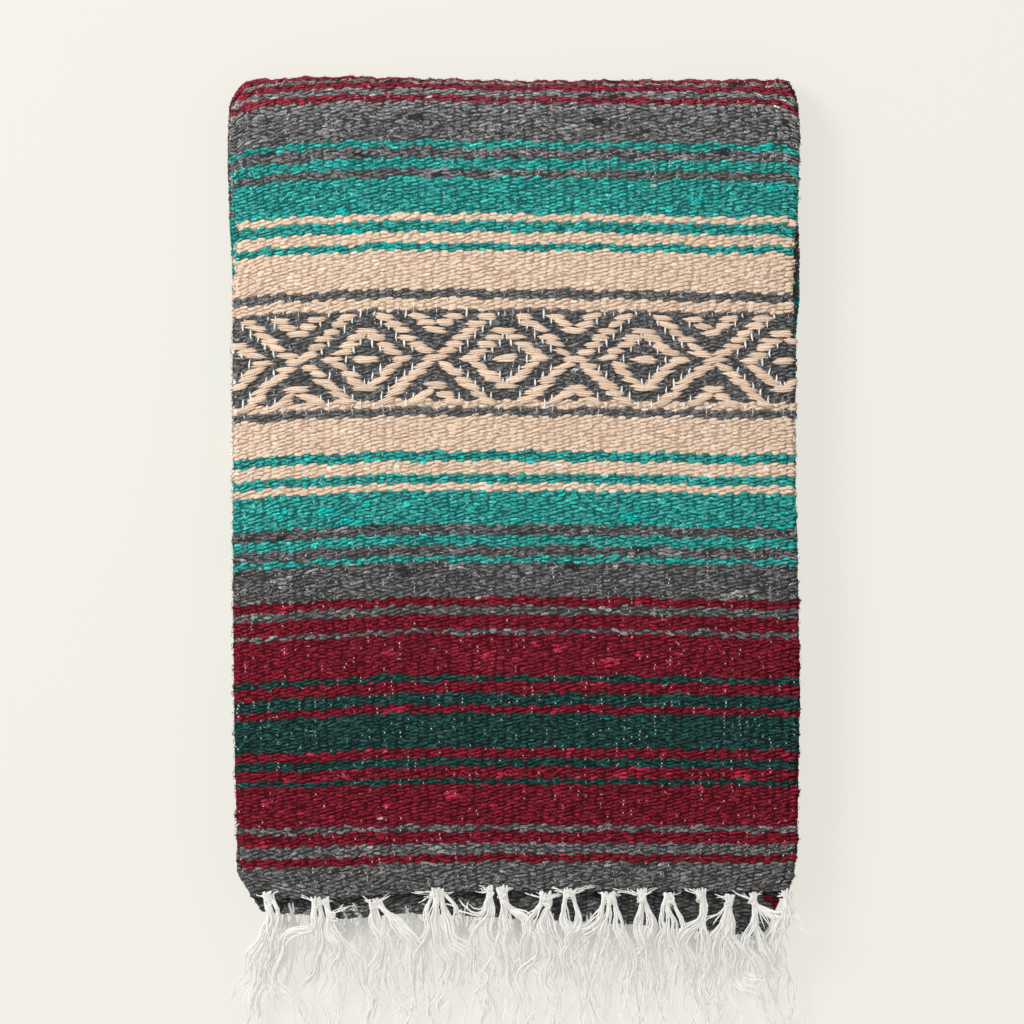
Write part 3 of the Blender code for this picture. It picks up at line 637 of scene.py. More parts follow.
LOWEST = 0.02
CELL_MARGIN = (0.04, 0.06)


def set_all(items, key, values, kind=np.float32):
    items.foreach_set(key, np.asarray(values, kind).ravel())


def add_object(name, data, place=(0.0, 0.0, 0.0)):
    made = bpy.data.objects.new(name, data)
    made.location = place
    bpy.context.scene.collection.objects.link(made)
    return made


def new_mesh(name, points, faces, tint, yarn, uv, material):
    """An object of points in mm and of four-cornered faces, riding on the part."""
    mesh = bpy.data.meshes.new(name)
    mesh.vertices.add(len(points))
    set_all(mesh.vertices, "co", (points + np.array(SHIFT)) / 1000)
    mesh.loops.add(faces.size)
    set_all(mesh.loops, "vertex_index", faces, np.int32)
    mesh.polygons.add(len(faces))
    set_all(mesh.polygons, "loop_start", np.arange(0, faces.size, 4), np.int32)
    mesh.update(calc_edges=True)
    mesh.shade_smooth()
    set_all(mesh.attributes.new("tint", "FLOAT_COLOR", "POINT").data, "color", tint)
    set_all(mesh.attributes.new("yarn", "FLOAT_VECTOR", "POINT").data, "vector", yarn)
    set_all(mesh.uv_layers.new(name="OFBake").data, "uv", uv[faces.ravel()])
    mesh.materials.append(material)
    made = add_object(name, mesh)
    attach(made, "root")
    return made


def grid_faces(count, rows, columns):
    """The quads of count grids of rows by columns points."""
    corner = np.arange(count * rows * columns).reshape(count, rows, columns)
    quads = (corner[:, :-1, :-1], corner[:, 1:, :-1], corner[:, 1:, 1:], corner[:, :-1, 1:])
    return np.stack(quads, -1).reshape(-1, 4)


def cell_map(count, rows, columns, wide):
    """A place on the bake's map for each point of count grids, each grid in a cell of its own."""
    across = max(1, round(math.sqrt(count / wide)))
    down = math.ceil(count / across)
    number = np.arange(count)[:, None, None]
    u, v = (np.linspace(margin, 1 - margin, n) for margin, n in zip(CELL_MARGIN, (columns, rows)))
    cells = ((number % across + u[None, :]) / across, (number // across + v[:, None]) / down)
    return np.stack(np.broadcast_arrays(*cells), -1).reshape(-1, 2)


def piece(name, parts, material):
    """One mesh of several parts: points, faces, tints, yarn places and a map each, the maps stacked."""
    ends = np.cumsum([0] + [len(part[0]) for part in parts])
    faces = np.concatenate([part[1] + first for part, first in zip(parts, ends)])
    points, tint, place, uv = (np.concatenate([part[n] for part in parts]) for n in (0, 2, 3, 4))
    for first, last in zip(ends[:-1], ends[1:]):
        uv[first:last, 1] = (first + (last - first) * uv[first:last, 1]) / ends[-1]
    points[:, 2] = np.maximum(points[:, 2], LOWEST)
    return new_mesh(name, points, faces, tint, place, uv, material)


# ---- Colour

# Fuzzy clots of other wool: yarn, how many in a square metre, and colour.
CLOTS = (
    ("maroon", 1100, (0.40, 0.027, 0.055)),
    ("teal", 700, (0.010, 0.44, 0.39)),
    ("gray", 600, (0.27, 0.27, 0.265)),
    ("gray", 900, (0.036, 0.036, 0.036)),
)
CLOT_WIDE = 3.7
CLOT_HIGH = 1.9
CLOT_GROWTH = (0.5, 1.5)
# How dark the painted shade round a clot's floats is.
CLOT_SHADE = 0.3
SLUB_MIX = (0.3, 0.9)
FLECK = (0.62, 0.60, 0.55)
FLECK_SHARE = 0.0008
FLECK_MIX = 0.65
# Stretches where the gray yarn is lighter or darker: middle, half length and change.
GRAY_LOTS = ((450, 32, 0.22), (185, 60, -0.12))
# How the brightness drifts along a pick: radians a mm across, and a pick.
DRIFTS = ((0.31, 2.4), (0.13, 4.1))
DRIFT = 0.45
SCATTER = 0.75
# A painted highlight makes the back fold lighter: how far that starts before it, over what length, and by
# how much.
HIGHLIGHT_BEFORE = 6
HIGHLIGHT_RUN = 8
FOLD_HIGHLIGHT = (0.32, 0.02)


def stripe_of(along):
    """The yarn's number at a place along the cloth."""
    along = np.where(along > HALF_LENGTH, 2 * HALF_LENGTH - along, along)
    along = np.where(along > STRIPE_ENDS[-1], 2 * STRIPE_ENDS[-1] - along, along)
    place = np.clip(np.searchsorted(STRIPE_ENDS, along), 0, len(STRIPES) - 1)
    return np.array([YARN_NAMES.index(name) for name, _ in STRIPES])[place]


def float_colours(yarn, across, along, rng):
    """A colour for each float, and how dark the painted shade in the hollows round it is."""
    count = len(yarn)
    pick = np.floor(along / PICK)
    drift = sum(np.sin(across * a + pick * b) for a, b in DRIFTS)
    bright = np.exp(YARN["spread"][yarn] * (SCATTER * rng.normal(size=count) + DRIFT * drift))
    lot = 1 + sum(change * np.exp(-(((along - middle) / half) ** 4)) for middle, half, change in GRAY_LOTS)
    bright = np.where(yarn == YARN_NAMES.index("gray"), bright * lot, bright)
    # Painted highlight: lighter round the back fold.
    fold_highlight = np.clip((along - TOP_RUN + HIGHLIGHT_BEFORE) / HIGHLIGHT_RUN, 0, 1)
    fold_highlight = (fold_highlight * np.clip((UNDER_START - along) / HIGHLIGHT_RUN, 0, 1))[:, None]
    colour = YARN["base"][yarn] * bright[:, None] * (1 + FOLD_HIGHLIGHT[0] * fold_highlight) + FOLD_HIGHLIGHT[1] * fold_highlight
    hollow_shade = YARN["hollow_shade"][yarn]
    slubby = rng.random(count) < YARN["slubs"][yarn]
    mix = np.where(slubby, rng.uniform(*SLUB_MIX, count), 0)
    for hit, clot in clots(yarn, across, along, rng):
        colour[hit] = clot
        mix[hit] = 0
        hollow_shade[hit] = CLOT_SHADE
    mix = mix[:, None]
    colour = colour * (1 - mix) + YARN["slub"][yarn] * mix
    hit = rng.random(count) < FLECK_SHARE
    colour[hit] = colour[hit] * (1 - FLECK_MIX) + np.array(FLECK) * FLECK_MIX
    return colour, hollow_shade


def clots(yarn, across, along, rng):
    """The floats in each clot, and its colour."""
    area = (np.ptp(across) + WARP) * (np.ptp(along) + PICK) * 1e-6
    for name, density, colour in CLOTS:
        mine = yarn == YARN_NAMES.index(name)
        if not mine.any():
            continue
        count = rng.poisson(density * area)
        places = [rng.uniform(value.min(), value.max(), count) for value in (across, along)]
        for a, b, size in zip(*places, rng.uniform(*CLOT_GROWTH, count)):
            off = ((across - a) / (CLOT_WIDE * size)) ** 2 + ((along - b) / (CLOT_HIGH * size)) ** 2
            yield mine & (off < 1), colour


# ---- Floats: small mounds of weft, each over one warp or a run of them

FLOAT_GRID = ((-1.0, -0.5, 0.5, 1.0), (-1.0, -0.5, 0.5, 1.0))
PLAIN_GRID = ((-1.0, -0.35, 0.35, 1.0), (-1.0, 0.0, 1.0))
LONG_GRID = (np.linspace(-1, 1, 9), (-1.0, -0.5, 0.0, 0.5, 1.0))
TICK_GRID = ((-1.0, 0.0, 1.0), (-1.0, 0.0, 1.0))
MOUND_MAP_WIDE = 2.0
TIP_WIDTH = 0.14
# How much of the painted shade a float's tips get.
TIP_SHADE = 0.62
HALF_FLOAT = 0.60 * WARP
HALF_HEIGHT = 1.06 * PICK
NOISE_SPAN = 900


def mounds(surface, across, along, look, grid, rng):
    """Points, faces, tints, yarn places and a map of one mound at each place. look holds one value or an
    array of them for each of half (length), high (half height), slant, crown, sink (at the ends), drop (at
    the sides), blunt, colour, mottle, the painted shade in the hollows at its sides and tips, speck, and
    that painted shade's power in red, green and blue."""
    count = len(across)

    def of(key, *more):
        return np.broadcast_to(look[key], (count, *more)).reshape(count, 1, 1, *more)

    U, V = np.meshgrid(*grid)
    out = np.abs(U) ** of("blunt")
    width = TIP_WIDTH + (1 - TIP_WIDTH) * (1 - out) ** 0.8
    run, rise = U * of("half"), V * of("high")
    a = across[:, None, None] + run
    b = along[:, None, None] + rise * width - of("slant") * run
    b = b + uneven(a, b)
    lift = of("crown") * (1 - out) - of("sink") * out - of("drop") * V**2
    points = lifted(surface, a, b, lift)
    # Painted shade: darker towards a mound's sides and tips, in the hollows between floats.
    shade = 1 - of("hollow_shade") * np.maximum(np.abs(V) ** 3, TIP_SHADE * out**2)
    shade = shade * np.exp(of("speck") * rng.normal(size=a.shape))
    tint = np.empty((*a.shape, 4))
    tint[..., :3] = of("colour", 3) * shade[..., None] ** of("shade_power", 3)
    tint[..., 3] = of("mottle")
    place = np.stack(np.broadcast_arrays(run, rise, rng.uniform(0, NOISE_SPAN, (count, 1, 1))), -1)
    size = (count, len(grid[1]), len(grid[0]))
    uv = cell_map(*size, MOUND_MAP_WIDE)
    return points.reshape(-1, 3), grid_faces(*size), tint.reshape(-1, 4), place.reshape(-1, 3), uv


def brick_places(warps, picks, on_top=0):
    """The warp and pick numbers where the weft lies on top of the warp, in a plain weave."""
    warp, pick = np.meshgrid(np.arange(*warps), np.arange(*picks))
    found = (warp + pick) % 2 == on_top
    return warp[found], pick[found]


def in_step(across, along):
    """No shift of the stripes."""
    return np.zeros_like(along)


def weft(surface, warps, picks, seed, shift=in_step, grid=PLAIN_GRID, painted_shade=1.0):
    """A piece of plain weave, from one warp and pick number to another, its colours darkened by a factor as
    painted shade.
    """
    rng = np.random.default_rng(seed)
    warp, pick = brick_places(warps, picks)
    count = len(warp)
    across = (warp + 0.5) * WARP + rng.normal(0, 0.60, count)
    along = (pick + 0.5) * PICK + rng.normal(0, 0.15, count)
    ragged = rng.normal(0, 0.20, count)
    yarn = stripe_of((pick + 0.5) * PICK + ragged + shift(across, along))
    colour, hollow_shade = float_colours(yarn, across, along, rng)
    look = {part: YARN[part][yarn] for part in ("mottle", "speck", "shade_power")}
    look |= {
        "colour": colour * painted_shade,
        "hollow_shade": hollow_shade,
        "half": HALF_FLOAT * rng.normal(1, 0.12, count),
        "high": HALF_HEIGHT * rng.normal(1, 0.12, count),
        "slant": YARN["lean"][yarn] + YARN["leans"][yarn] * rng.normal(size=count),
        "crown": 0.38 + rng.normal(0, 0.10, count),
        "sink": 0.2,
        "drop": 0.34,
        "blunt": 2.0,
    }
    return mounds(surface, across, along, look, grid, rng)


def row_floats(row):
    """The first and last warp of each long float in a row of a diamond. One that reaches the middle, or
    halfway to the next diamond, goes on beyond."""
    for low in np.arange(RING_START - abs(row) - 2 * RING_STEP, HALF_REPEAT, RING_STEP):
        first, last = max(low, 0.0), min(low + RING_WIDE, HALF_REPEAT)
        if last - first < SHORTEST:
            continue
        if first == 0:
            yield -last, last
        elif last == HALF_REPEAT:
            yield first, MOTIF_REPEAT - first
        else:
            yield first, last
            yield -last, -first
    if row == 0:
        yield -HEART, HEART


def motif_floats():
    """Each long float of the motif: the middle of its diamond, its row, its first and its last warp."""
    for number in range(math.ceil(FLAT_WARPS / MOTIF_REPEAT) + 1):
        middle = MOTIF_FIRST + number * MOTIF_REPEAT * WARP
        for row in range(-MOTIF_ROWS, MOTIF_ROWS + 1):
            for first, last in row_floats(row):
                if -0.3 * WARP < middle + (first + last) / 2 * WARP < SPAN + WARP:
                    yield middle, row, first, last


def strand_look(outer, half, size, slant, plump, bright, rng):
    """The look of one strand of each long float. outer is 0 for the middle strand and 1 beside it."""
    count = len(half)
    return {
        "half": half * (1 - 0.20 * outer) * rng.normal(1, 0.08, count),
        "high": 0.88 * size * rng.normal(1, 0.08, count),
        "slant": slant + rng.normal(0, 0.03, count) + 0.03,
        "crown": 1.65 - 0.45 * outer + plump,
        "sink": 0.1,
        "drop": 0.5,
        "blunt": 3.4,
        "colour": np.array(YARNS["beige"][0]) * np.exp(bright + rng.normal(0, 0.06, count))[:, None],
        "mottle": 0.26,
        # Painted shade in the hollows round the strands.
        "hollow_shade": 0.5,
        "speck": 0.04,
        "shade_power": BEIGE_SHADE_POWER,
    }


def motif(surface, seed):
    """The motif's long floats, each of three strands side by side, and where warps show at their ends."""
    rng = np.random.default_rng(seed)
    middle, row, first, last = np.array(list(motif_floats())).T
    count = len(middle)
    single = (np.sign(first) == np.sign(last)) & (last < HALF_REPEAT + 1)
    back = row > 0
    slant = np.where(back, 0.10, 0.22) * np.sign(row) * np.sign(first + last) * single - 0.05 * back
    slant = slant + rng.normal(0, 0.05, count)
    half = ((last - first) / 2 + 0.20) * WARP * rng.normal(1, 0.08, count)
    along = MOTIF_CENTRE + row * ROW + rng.normal(0, 0.3, count)
    across = middle + (first + last) / 2 * WARP + rng.normal(0, 0.45, count)
    size = rng.normal(1, 0.08, count) * np.where(back, 0.94, 0.98)
    plump = rng.normal(0, 0.12, count)
    bright = rng.normal(0, 0.05, count)
    parts = []
    for strand in (-1, 0, 1):
        look = strand_look(abs(strand), half, size, slant, plump, bright, rng)
        aside = rng.normal(0, 0.5, count)
        b = along + strand * 1.08 * size - slant * aside
        parts.append(mounds(surface, across + aside, b, look, LONG_GRID, rng))
    inner = np.where(first + last > 0, first, last)
    tick_across = middle + (inner - np.sign(inner) * 0.42) * WARP
    kept = single & (rng.random(count) < 0.9)
    return parts, (tick_across[kept], (along + np.sign(row) * 1.7)[kept])


# The warp shows more in some stretches: their share, how many picks they run, how much more it shows in them
# and less between them, and after how many warps and stretches they come again.
OPEN_SHARE = 0.22
OPEN_PICKS = 8
OPEN_MORE = (3.2, 0.35)
OPEN_REPEAT = 200
# On the narrow beige stripes beside the motif: half their width, the specks' share and half height.
MOTIF_EDGE_HALF = 2.2
EDGE_SHARE = 0.5
EDGE_HIGH = 1.2


def by_motif_edge(along):
    """Whether a place is on the narrow beige stripe on either side of the motif."""
    return np.abs(np.abs(along - MOTIF_CENTRE) - MOTIF_EDGE) < MOTIF_EDGE_HALF


def bare_warps(warps, picks, rng):
    """The middle, across and along the cloth, of each place where the warp shows."""
    warp, pick = brick_places(warps, picks, 1)
    middle = (pick + 0.5) * PICK
    share = np.where(by_motif_edge(middle), EDGE_SHARE, YARN["warp"][stripe_of(middle)])
    open_runs = rng.random((OPEN_REPEAT, OPEN_REPEAT)) < OPEN_SHARE
    is_open = open_runs[warp % OPEN_REPEAT, (pick // OPEN_PICKS) % OPEN_REPEAT]
    kept = rng.random(len(warp)) < share * np.where(is_open, *OPEN_MORE)
    return (warp[kept] + 0.5) * WARP, middle[kept]


def ticks(surface, warps, picks, extra, seed):
    """Specks of the white warp between the floats, and longer ones at the ends of the motif's floats."""
    rng = np.random.default_rng(seed)
    across, along = bare_warps(warps, picks, rng)
    count, more = len(across), len(extra[0])

    def both(small, long):
        return np.concatenate((small, long))

    across = both(across + rng.normal(0, 0.2, count), extra[0])
    along = both(along + rng.normal(0, 0.1, count), extra[1])
    bright = both(rng.uniform(0.4, 1.0, count), rng.uniform(0.9, 1.0, more))
    half = both(rng.uniform(0.30, 0.46, count), rng.uniform(0.58, 0.76, more))
    high = both(rng.uniform(0.32, 0.6, count), rng.uniform(2.1, 3.3, more))
    look = {
        "half": half,
        "high": np.where(by_motif_edge(along), EDGE_HIGH, high),
        "slant": 0.0,
        "crown": both(np.full(count, 0.72), np.full(more, 1.35)),
        "sink": 0.3,
        "drop": 0.35,
        "blunt": 1.6,
        "colour": np.array(WARP_WHITE) * 1.06 * bright[:, None],
        "mottle": 0.0,
        "hollow_shade": 0.0,
        "speck": 0.0,
        "shade_power": (1.0, 1.0, 1.0),
    }
    return mounds(surface, across, along, look, TICK_GRID, rng)


# ---- Fuzz: fibres that have worked loose

FUZZ_STEPS = 5
FUZZ_LONG = (0.8, 2.4)
FUZZ_WIDE = (0.16, 0.30)
FUZZ_BEND = 0.4
FUZZ_SLANT = 0.13
FUZZ_RISE = 0.42
FUZZ_ARCH = 0.4
FUZZ_MOTTLE = 0.05
FUZZ_MAP_WIDE = 1.0
DARK_SHARE = 0.45
LINT_SHARE = 0.02
# Fibres of another colour: yarn, their share and colour.
SLIVERS = (
    ("green", 0.18, (0.05, 0.36, 0.33)),
    ("gray", 0.16, (0.55, 0.54, 0.52)),
    ("teal", 0.10, (0.25, 0.50, 0.46)),
)


def loose_ends(patch, rng):
    """Where each fibre of a patch lies, its heading, how far it stands off and how much wider it is."""
    count, across, along, turn, off, wide = patch
    heading = rng.normal(0, turn, count)
    places = [rng.uniform(*span, count) for span in (across, along)]
    return *places, heading, np.full(count, off), np.full(count, wide)


def fuzz_colours(yarn, rng):
    count = len(yarn)
    mix = rng.random(count)[:, None]
    pale = YARN["slub"][yarn] * (0.6 + 0.8 * mix)
    colour = np.where(mix < DARK_SHARE, YARN["base"][yarn] * 0.28, pale)
    for name, share, tone in SLIVERS:
        colour[(yarn == YARN_NAMES.index(name)) & (rng.random(count) < share)] = tone
    colour[rng.random(count) < LINT_SHARE] = np.array(WARP_WHITE) * 0.75
    return colour


def fuzz(surface, patches, seed):
    """Loose fibres, narrow ribbons that lie on the floats or stand a little off them."""
    rng = np.random.default_rng(seed)
    spread = [np.concatenate(part) for part in zip(*(loose_ends(patch, rng) for patch in patches))]
    across, along, heading, off, wide = (part[:, None] for part in spread)
    count = len(across)
    steps = np.linspace(-0.5, 0.5, FUZZ_STEPS)
    turned = heading + rng.normal(0, FUZZ_BEND, (count, 1)) * steps * 2
    run = rng.uniform(*FUZZ_LONG, (count, 1)) * steps
    wide = wide * rng.uniform(*FUZZ_WIDE, (count, 1))
    a = across + run * np.cos(turned)
    b = along + run * np.sin(turned) - FUZZ_SLANT * run
    b = b + uneven(a, b)
    side = np.array((-0.5, 0.5)) * wide[:, None]
    a = a[:, :, None] - np.sin(turned)[:, :, None] * side
    b = b[:, :, None] + np.cos(turned)[:, :, None] * side
    arched = FUZZ_ARCH * (1 - 4 * steps**2)
    rise = FUZZ_RISE + off * (rng.uniform(0, 1, (count, 1)) * (0.5 + steps) + arched)
    points = lifted(surface, a, b, np.repeat(rise[:, :, None], 2, 2))
    tint = np.full((*a.shape, 4), FUZZ_MOTTLE)
    tint[..., :3] = fuzz_colours(stripe_of(along[:, 0]), rng)[:, None, None]
    place = np.stack(np.broadcast_arrays(a, b, across[:, None]), -1)
    size = (count, FUZZ_STEPS, 2)
    uv = cell_map(*size, FUZZ_MAP_WIDE)
    return points.reshape(-1, 3), grid_faces(*size), tint.reshape(-1, 4), place.reshape(-1, 3), uv


# ---- Strands

STRAND_SIDES = 3
MAP_LENGTH = 6
STRAND_MOTTLE = 0.1
SHADE_FADE = 11.0
DROOP_FADE = 20.0
# A bunch: its head, which flares at the root and is drawn in behind that, then how its strands spread, curl
# and stray.
HEAD = 11.0
TWIST = 4.5
WAIST = 0.35
FLARE_RUN = 1.6
WAIST_AT = 4.5
WAIST_RUN = 2.5
LOCK_STEP = 2.6
MORE_STRANDS = 1.3
SPREAD = 1.45
SPREAD_POWER = 0.76
CURL = 3.0
CURL_RUN = 13.0
STRAY = 0.18
STRAY_FAR = 3.2
# A line that runs past here is cut off by the photograph's edge, and goes on this much further.
CUT_OFF = 75.4
PAST_TIP = 10.0
# Waves, as (how many, their sizes, their lengths).
MEANDER = (3, (0.5, 1.3), (16, 44))
STRAND_WAVES = (3, (0.1, 0.5), (12, 36))
LOOSE_WAVES = (2, (0.8, 3.0), (18, 60))
RADII = {"lock": (0.50, 0.68), "loose": (0.42, 0.58), "knot": (0.34, 0.46), "foot": (0.18, 0.32)}
WAVE_STARTS = (0, 6.3)
STRAND_TURN = 2.4
LOOSE_SPAN = (-139, 148)
LOOSE_END = -554
LOOSE_STEP = 4
KNOT_LOOPS = 4
KNOT_STEPS = 11
FOOT_STRANDS = 3
FOOT_STEPS = 9


def run_along(path):
    """How far along a path each of its points lies."""
    return np.concatenate(((0,), np.cumsum(np.linalg.norm(np.diff(path, axis=0), axis=1))))


def tubes(name, strands, material):
    """Round strands, each a path, a radius and a tint at each point, joined into one mesh."""
    strands = list(strands)
    parts = []
    first = 0
    rim = np.arange(STRAND_SIDES + 1)
    turn = rim * 2 * math.pi / STRAND_SIDES
    columns = math.ceil(math.sqrt(len(strands) / MAP_LENGTH))
    lines = math.ceil(len(strands) / columns)
    for number, (path, radius, colour) in enumerate(strands):
        steps = len(path)
        ahead = unit(np.gradient(path, axis=0))
        aside = unit(np.cross(ahead, (0.0, 0.0, 1.0)))
        above = np.cross(aside, ahead)
        taper = radius * np.linspace(1.0, 0.75, steps)
        taper[-1] *= 0.35
        ring = aside[:, None] * np.cos(turn)[:, None] + above[:, None] * np.sin(turn)[:, None]
        tint = np.column_stack((np.repeat(colour, len(rim), 0), np.full(steps * len(rim), STRAND_MOTTLE)))
        place = np.stack(np.broadcast_arrays(run_along(path)[:, None], turn * 0.5, number * 1.7), -1)
        u = (number % columns + 0.03 + 0.94 * np.linspace(0, 1, steps)) / columns
        v = (number // columns + 0.08 + 0.84 * rim / STRAND_SIDES) / lines
        uv = np.stack(np.meshgrid(u, v, indexing="ij"), -1)
        points = (path[:, None] + taper[:, None, None] * ring).reshape(-1, 3)
        faces = first + grid_faces(1, steps, len(rim))
        parts.append((points, faces, tint, place.reshape(-1, 3), uv.reshape(-1, 2)))
        first += len(points)
    return new_mesh(name, *(np.concatenate(part) for part in zip(*parts)), material)


def smooth_path(corners, count):
    """Points evenly spaced on a smooth curve through the corners, and the curve's length."""
    corners = np.array(corners, float)
    knots = np.vstack((2 * corners[0] - corners[1], corners, 2 * corners[-1] - corners[-2]))
    share = np.linspace(0, len(corners) - 1, 12 * len(corners))
    n = np.minimum(share.astype(int), len(corners) - 2)
    t = (share - n)[:, None]
    p0, p1, p2, p3 = (knots[n + ahead] for ahead in range(4))
    bend = (2 * p0 - 5 * p1 + 4 * p2 - p3) * t**2 + (3 * p1 - p0 - 3 * p2 + p3) * t**3
    curve = 0.5 * (2 * p1 + (p2 - p0) * t + bend)
    length = run_along(curve)
    even = np.linspace(0, length[-1], count)
    return np.stack([np.interp(even, length, column) for column in curve.T], 1), length[-1]


def from_end_a(point):
    """A point of the tables of locks and threads, in part.py's frame."""
    return np.array((point[0], END_A_Y - point[1]))


def waves(rng, along, count, sizes, lengths):
    """The sum of waves of random size, length and start."""
    return sum(
        rng.uniform(*sizes) * np.sin(along * 2 * math.pi / rng.uniform(*lengths) + rng.uniform(*WAVE_STARTS))
        for _ in range(count)
    )


def tip_share(along, end):
    """How far into its curled tip a strand is, from 0 to 1."""
    return np.clip((along - end + CURL_RUN) / CURL_RUN, 0, 1) ** 2


def shaded(white, change, shade, before):
    """The tint along a strand, with painted shade near the cloth's end."""
    return np.array(white) * change * (1 - shade * np.exp(-((before / SHADE_FADE) ** 2)))[:, None]


def lock_line(corners):
    """A lock's middle line: its points, the directions to its side and how far along each point lies."""
    if corners[-1][1] > CUT_OFF:
        before, last = corners[-2:]
        corners = [*corners, (last[0] + (last[0] - before[0]) / 2, last[1] + PAST_TIP)]
    corners = [from_end_a(point) for point in corners]
    _, long = smooth_path(corners, 2)
    centre, _ = smooth_path(corners, max(6, round(long / LOCK_STEP)))
    ahead = unit(np.gradient(centre, axis=0))
    return centre, np.stack((ahead[:, 1], -ahead[:, 0]), 1), np.linspace(0, long, len(centre))


def strand_wave(along, meander, rng):
    """How a strand swings from side to side, with its lock's meander. Some stray further and further."""
    share = along / along[-1]
    wave = meander + (0.5 + 1.3 * share) * waves(rng, along, *STRAND_WAVES)
    if rng.random() < STRAY:
        wave = wave + rng.normal(0, STRAY_FAR) * share**1.5
    return wave


def fallen(fall, before, dropped, above, rng):
    """A strand's heights: it falls from the cloth's end to the floor, and its root is tucked in."""
    height = read(fall, before) - dropped * np.exp(-before / DROOP_FADE) + above
    height = np.maximum(height, rng.uniform(0.5, 2.2))
    height[0] -= 0.5
    return height


def lock_strands(locks, edge, fall, drop, white, shade, seed):
    """The strands of each lock: twisted together at its head, then spread along its line."""
    rng = np.random.default_rng(seed)
    for count, root, tip, *corners in locks:
        centre, aside, along = lock_line(corners)
        opening = np.clip(along / HEAD - 0.5, 0, 1)
        wide = root + (SPREAD * tip - root) * (along / along[-1]) ** SPREAD_POWER
        flare = np.exp(-along / FLARE_RUN) - np.exp(-(((along - WAIST_AT) / WAIST_RUN) ** 2))
        meander = waves(rng, along, *MEANDER)
        count = round(count * MORE_STRANDS)
        for strand in range(count):
            place = (strand + 0.5) / count * 2 - 1 + rng.normal(0, 0.10)
            turn = strand * STRAND_TURN + along / TWIST
            wander = rng.uniform(0.04, 0.14) * np.sin(along / rng.uniform(5, 9) + rng.uniform(*WAVE_STARTS))
            wave = strand_wave(along, meander, rng)
            reach = root * rng.uniform(0.26, 0.46) * (1 + WAIST * flare)
            kept = slice(max(5, round(len(along) * rng.uniform(0.42, 1.0))))
            off = (1 - opening) * reach * np.cos(turn) + opening * ((place + wander) * wide / 2 + wave)
            off = off + rng.normal(0, CURL) * tip_share(along, along[kept][-1])
            flat = centre + aside * off[:, None]
            flat[0] += (rng.normal(0, 0.5), rng.uniform(-0.3, 2.2))
            flat = flat[kept]
            before = np.maximum(edge(flat[:, 0]) - flat[:, 1], 0)
            twisted = reach * (1 + 0.9 * np.sin(turn))
            loose = (1 - place**2) * 0.9 + 0.7 * np.sin(along / rng.uniform(3, 7) + rng.uniform(0, 6))
            above = (1 - opening) * twisted + opening * (loose + rng.normal(0, 0.5))
            height = fallen(fall, before, drop(flat[:, 0]), above[kept], rng)
            radius = rng.uniform(*RADII["lock"])
            tint = shaded(white, rng.uniform(0.93, 1.03), shade, before)
            yield np.column_stack((flat, height)), radius, tint


def loose_strands(count, seed):
    """Fine strands of end B spread over the floor between the bunches, and over them."""
    rng = np.random.default_rng(seed)
    for _ in range(count):
        x = rng.uniform(*LOOSE_SPAN)
        start = end_b(x)
        long = rng.uniform(14, 30) if rng.random() < 0.6 else min(rng.uniform(22, 74), start - LOOSE_END)
        rise = rng.uniform(0.5, 4.5)
        along = np.linspace(0, long, max(6, round(long / LOOSE_STEP)))
        swing = waves(rng, along, *LOOSE_WAVES)
        lean = rng.normal(0, 0.14)
        flat_x = x + (swing - swing[0]) + lean * along + rng.normal(0, CURL) * tip_share(along, long)
        over = rng.random() < 0.5
        height = read(FALL_B, along - rise)
        height = height + 0.8 if over else height * rng.uniform(0.3, 0.9)
        height = height - droop(flat_x, start) * np.exp(-along / DROOP_FADE)
        height = np.maximum(height, rng.uniform(0.4, 1.6))
        radius = rng.uniform(*RADII["loose"])
        # Painted shade near end B: more on the strands that lie under the others.
        tint = shaded(LOW_WHITE, rng.uniform(0.94, 1.04), 0.3 if over else 0.6, np.maximum(along - rise, 0))
        yield np.column_stack((flat_x, start + rise - along, height)), radius, tint


def knots(seed):
    """Loops of warp round the head of each bunch."""
    rng = np.random.default_rng(seed)
    turn = np.linspace(0, 2 * math.pi, KNOT_STEPS)
    for root, *_ in THREADS:
        for _ in range(KNOT_LOOPS):
            wide, high = rng.uniform(1.2, 2.1), rng.uniform(0.5, 1.0)
            tilt = rng.normal(0, 0.35)
            centre = from_end_a(root) + (rng.normal(0, 0.5), rng.uniform(-5.5, -0.2))
            a, b = wide * np.cos(turn), high * np.sin(turn)
            x = centre[0] + a * math.cos(tilt) - b * math.sin(tilt)
            y = centre[1] + a * math.sin(tilt) + b * math.cos(tilt)
            height = stack_top(x) + 2.4 + 1.2 * np.sin(turn + rng.uniform(*WAVE_STARTS))
            height -= np.maximum(END_A_Y - 2 - y, 0) * 0.12
            radius = rng.uniform(*RADII["knot"])
            tint = np.full((KNOT_STEPS, 3), WARP_WHITE) * rng.uniform(0.95, 1.02)
            yield np.column_stack((x, y, height)), radius, tint


def foot_threads(seed):
    """Ends of warp drawn along the cloth's edge into their bunch."""
    rng = np.random.default_rng(seed)
    for root, *ends in THREADS:
        root = from_end_a(root)
        for end in np.repeat([from_end_a(end) for end in ends], FOOT_STRANDS, 0):
            far = root + (end - root) * rng.uniform(0.6, 1.12) + rng.normal(0, 0.6, 2)
            near = root + rng.normal(0, 0.7, 2) - (0, 1.2)
            bends = [near + (far - near) * share + rng.normal(0, 0.45, 2) for share in (0.33, 0.66)]
            flat, _ = smooth_path((far, bends[1], bends[0], near), FOOT_STEPS)
            height = stack_top(flat[:, 0]) + 0.75 + 0.9 * np.sin(np.linspace(0, math.pi, FOOT_STEPS))
            height[0] -= 0.6
            radius = rng.uniform(*RADII["foot"])
            tint = np.full((FOOT_STEPS, 3), WARP_WHITE) * rng.uniform(0.95, 1.05)
            yield np.column_stack((flat, height)), radius, tint


# ---- Materials

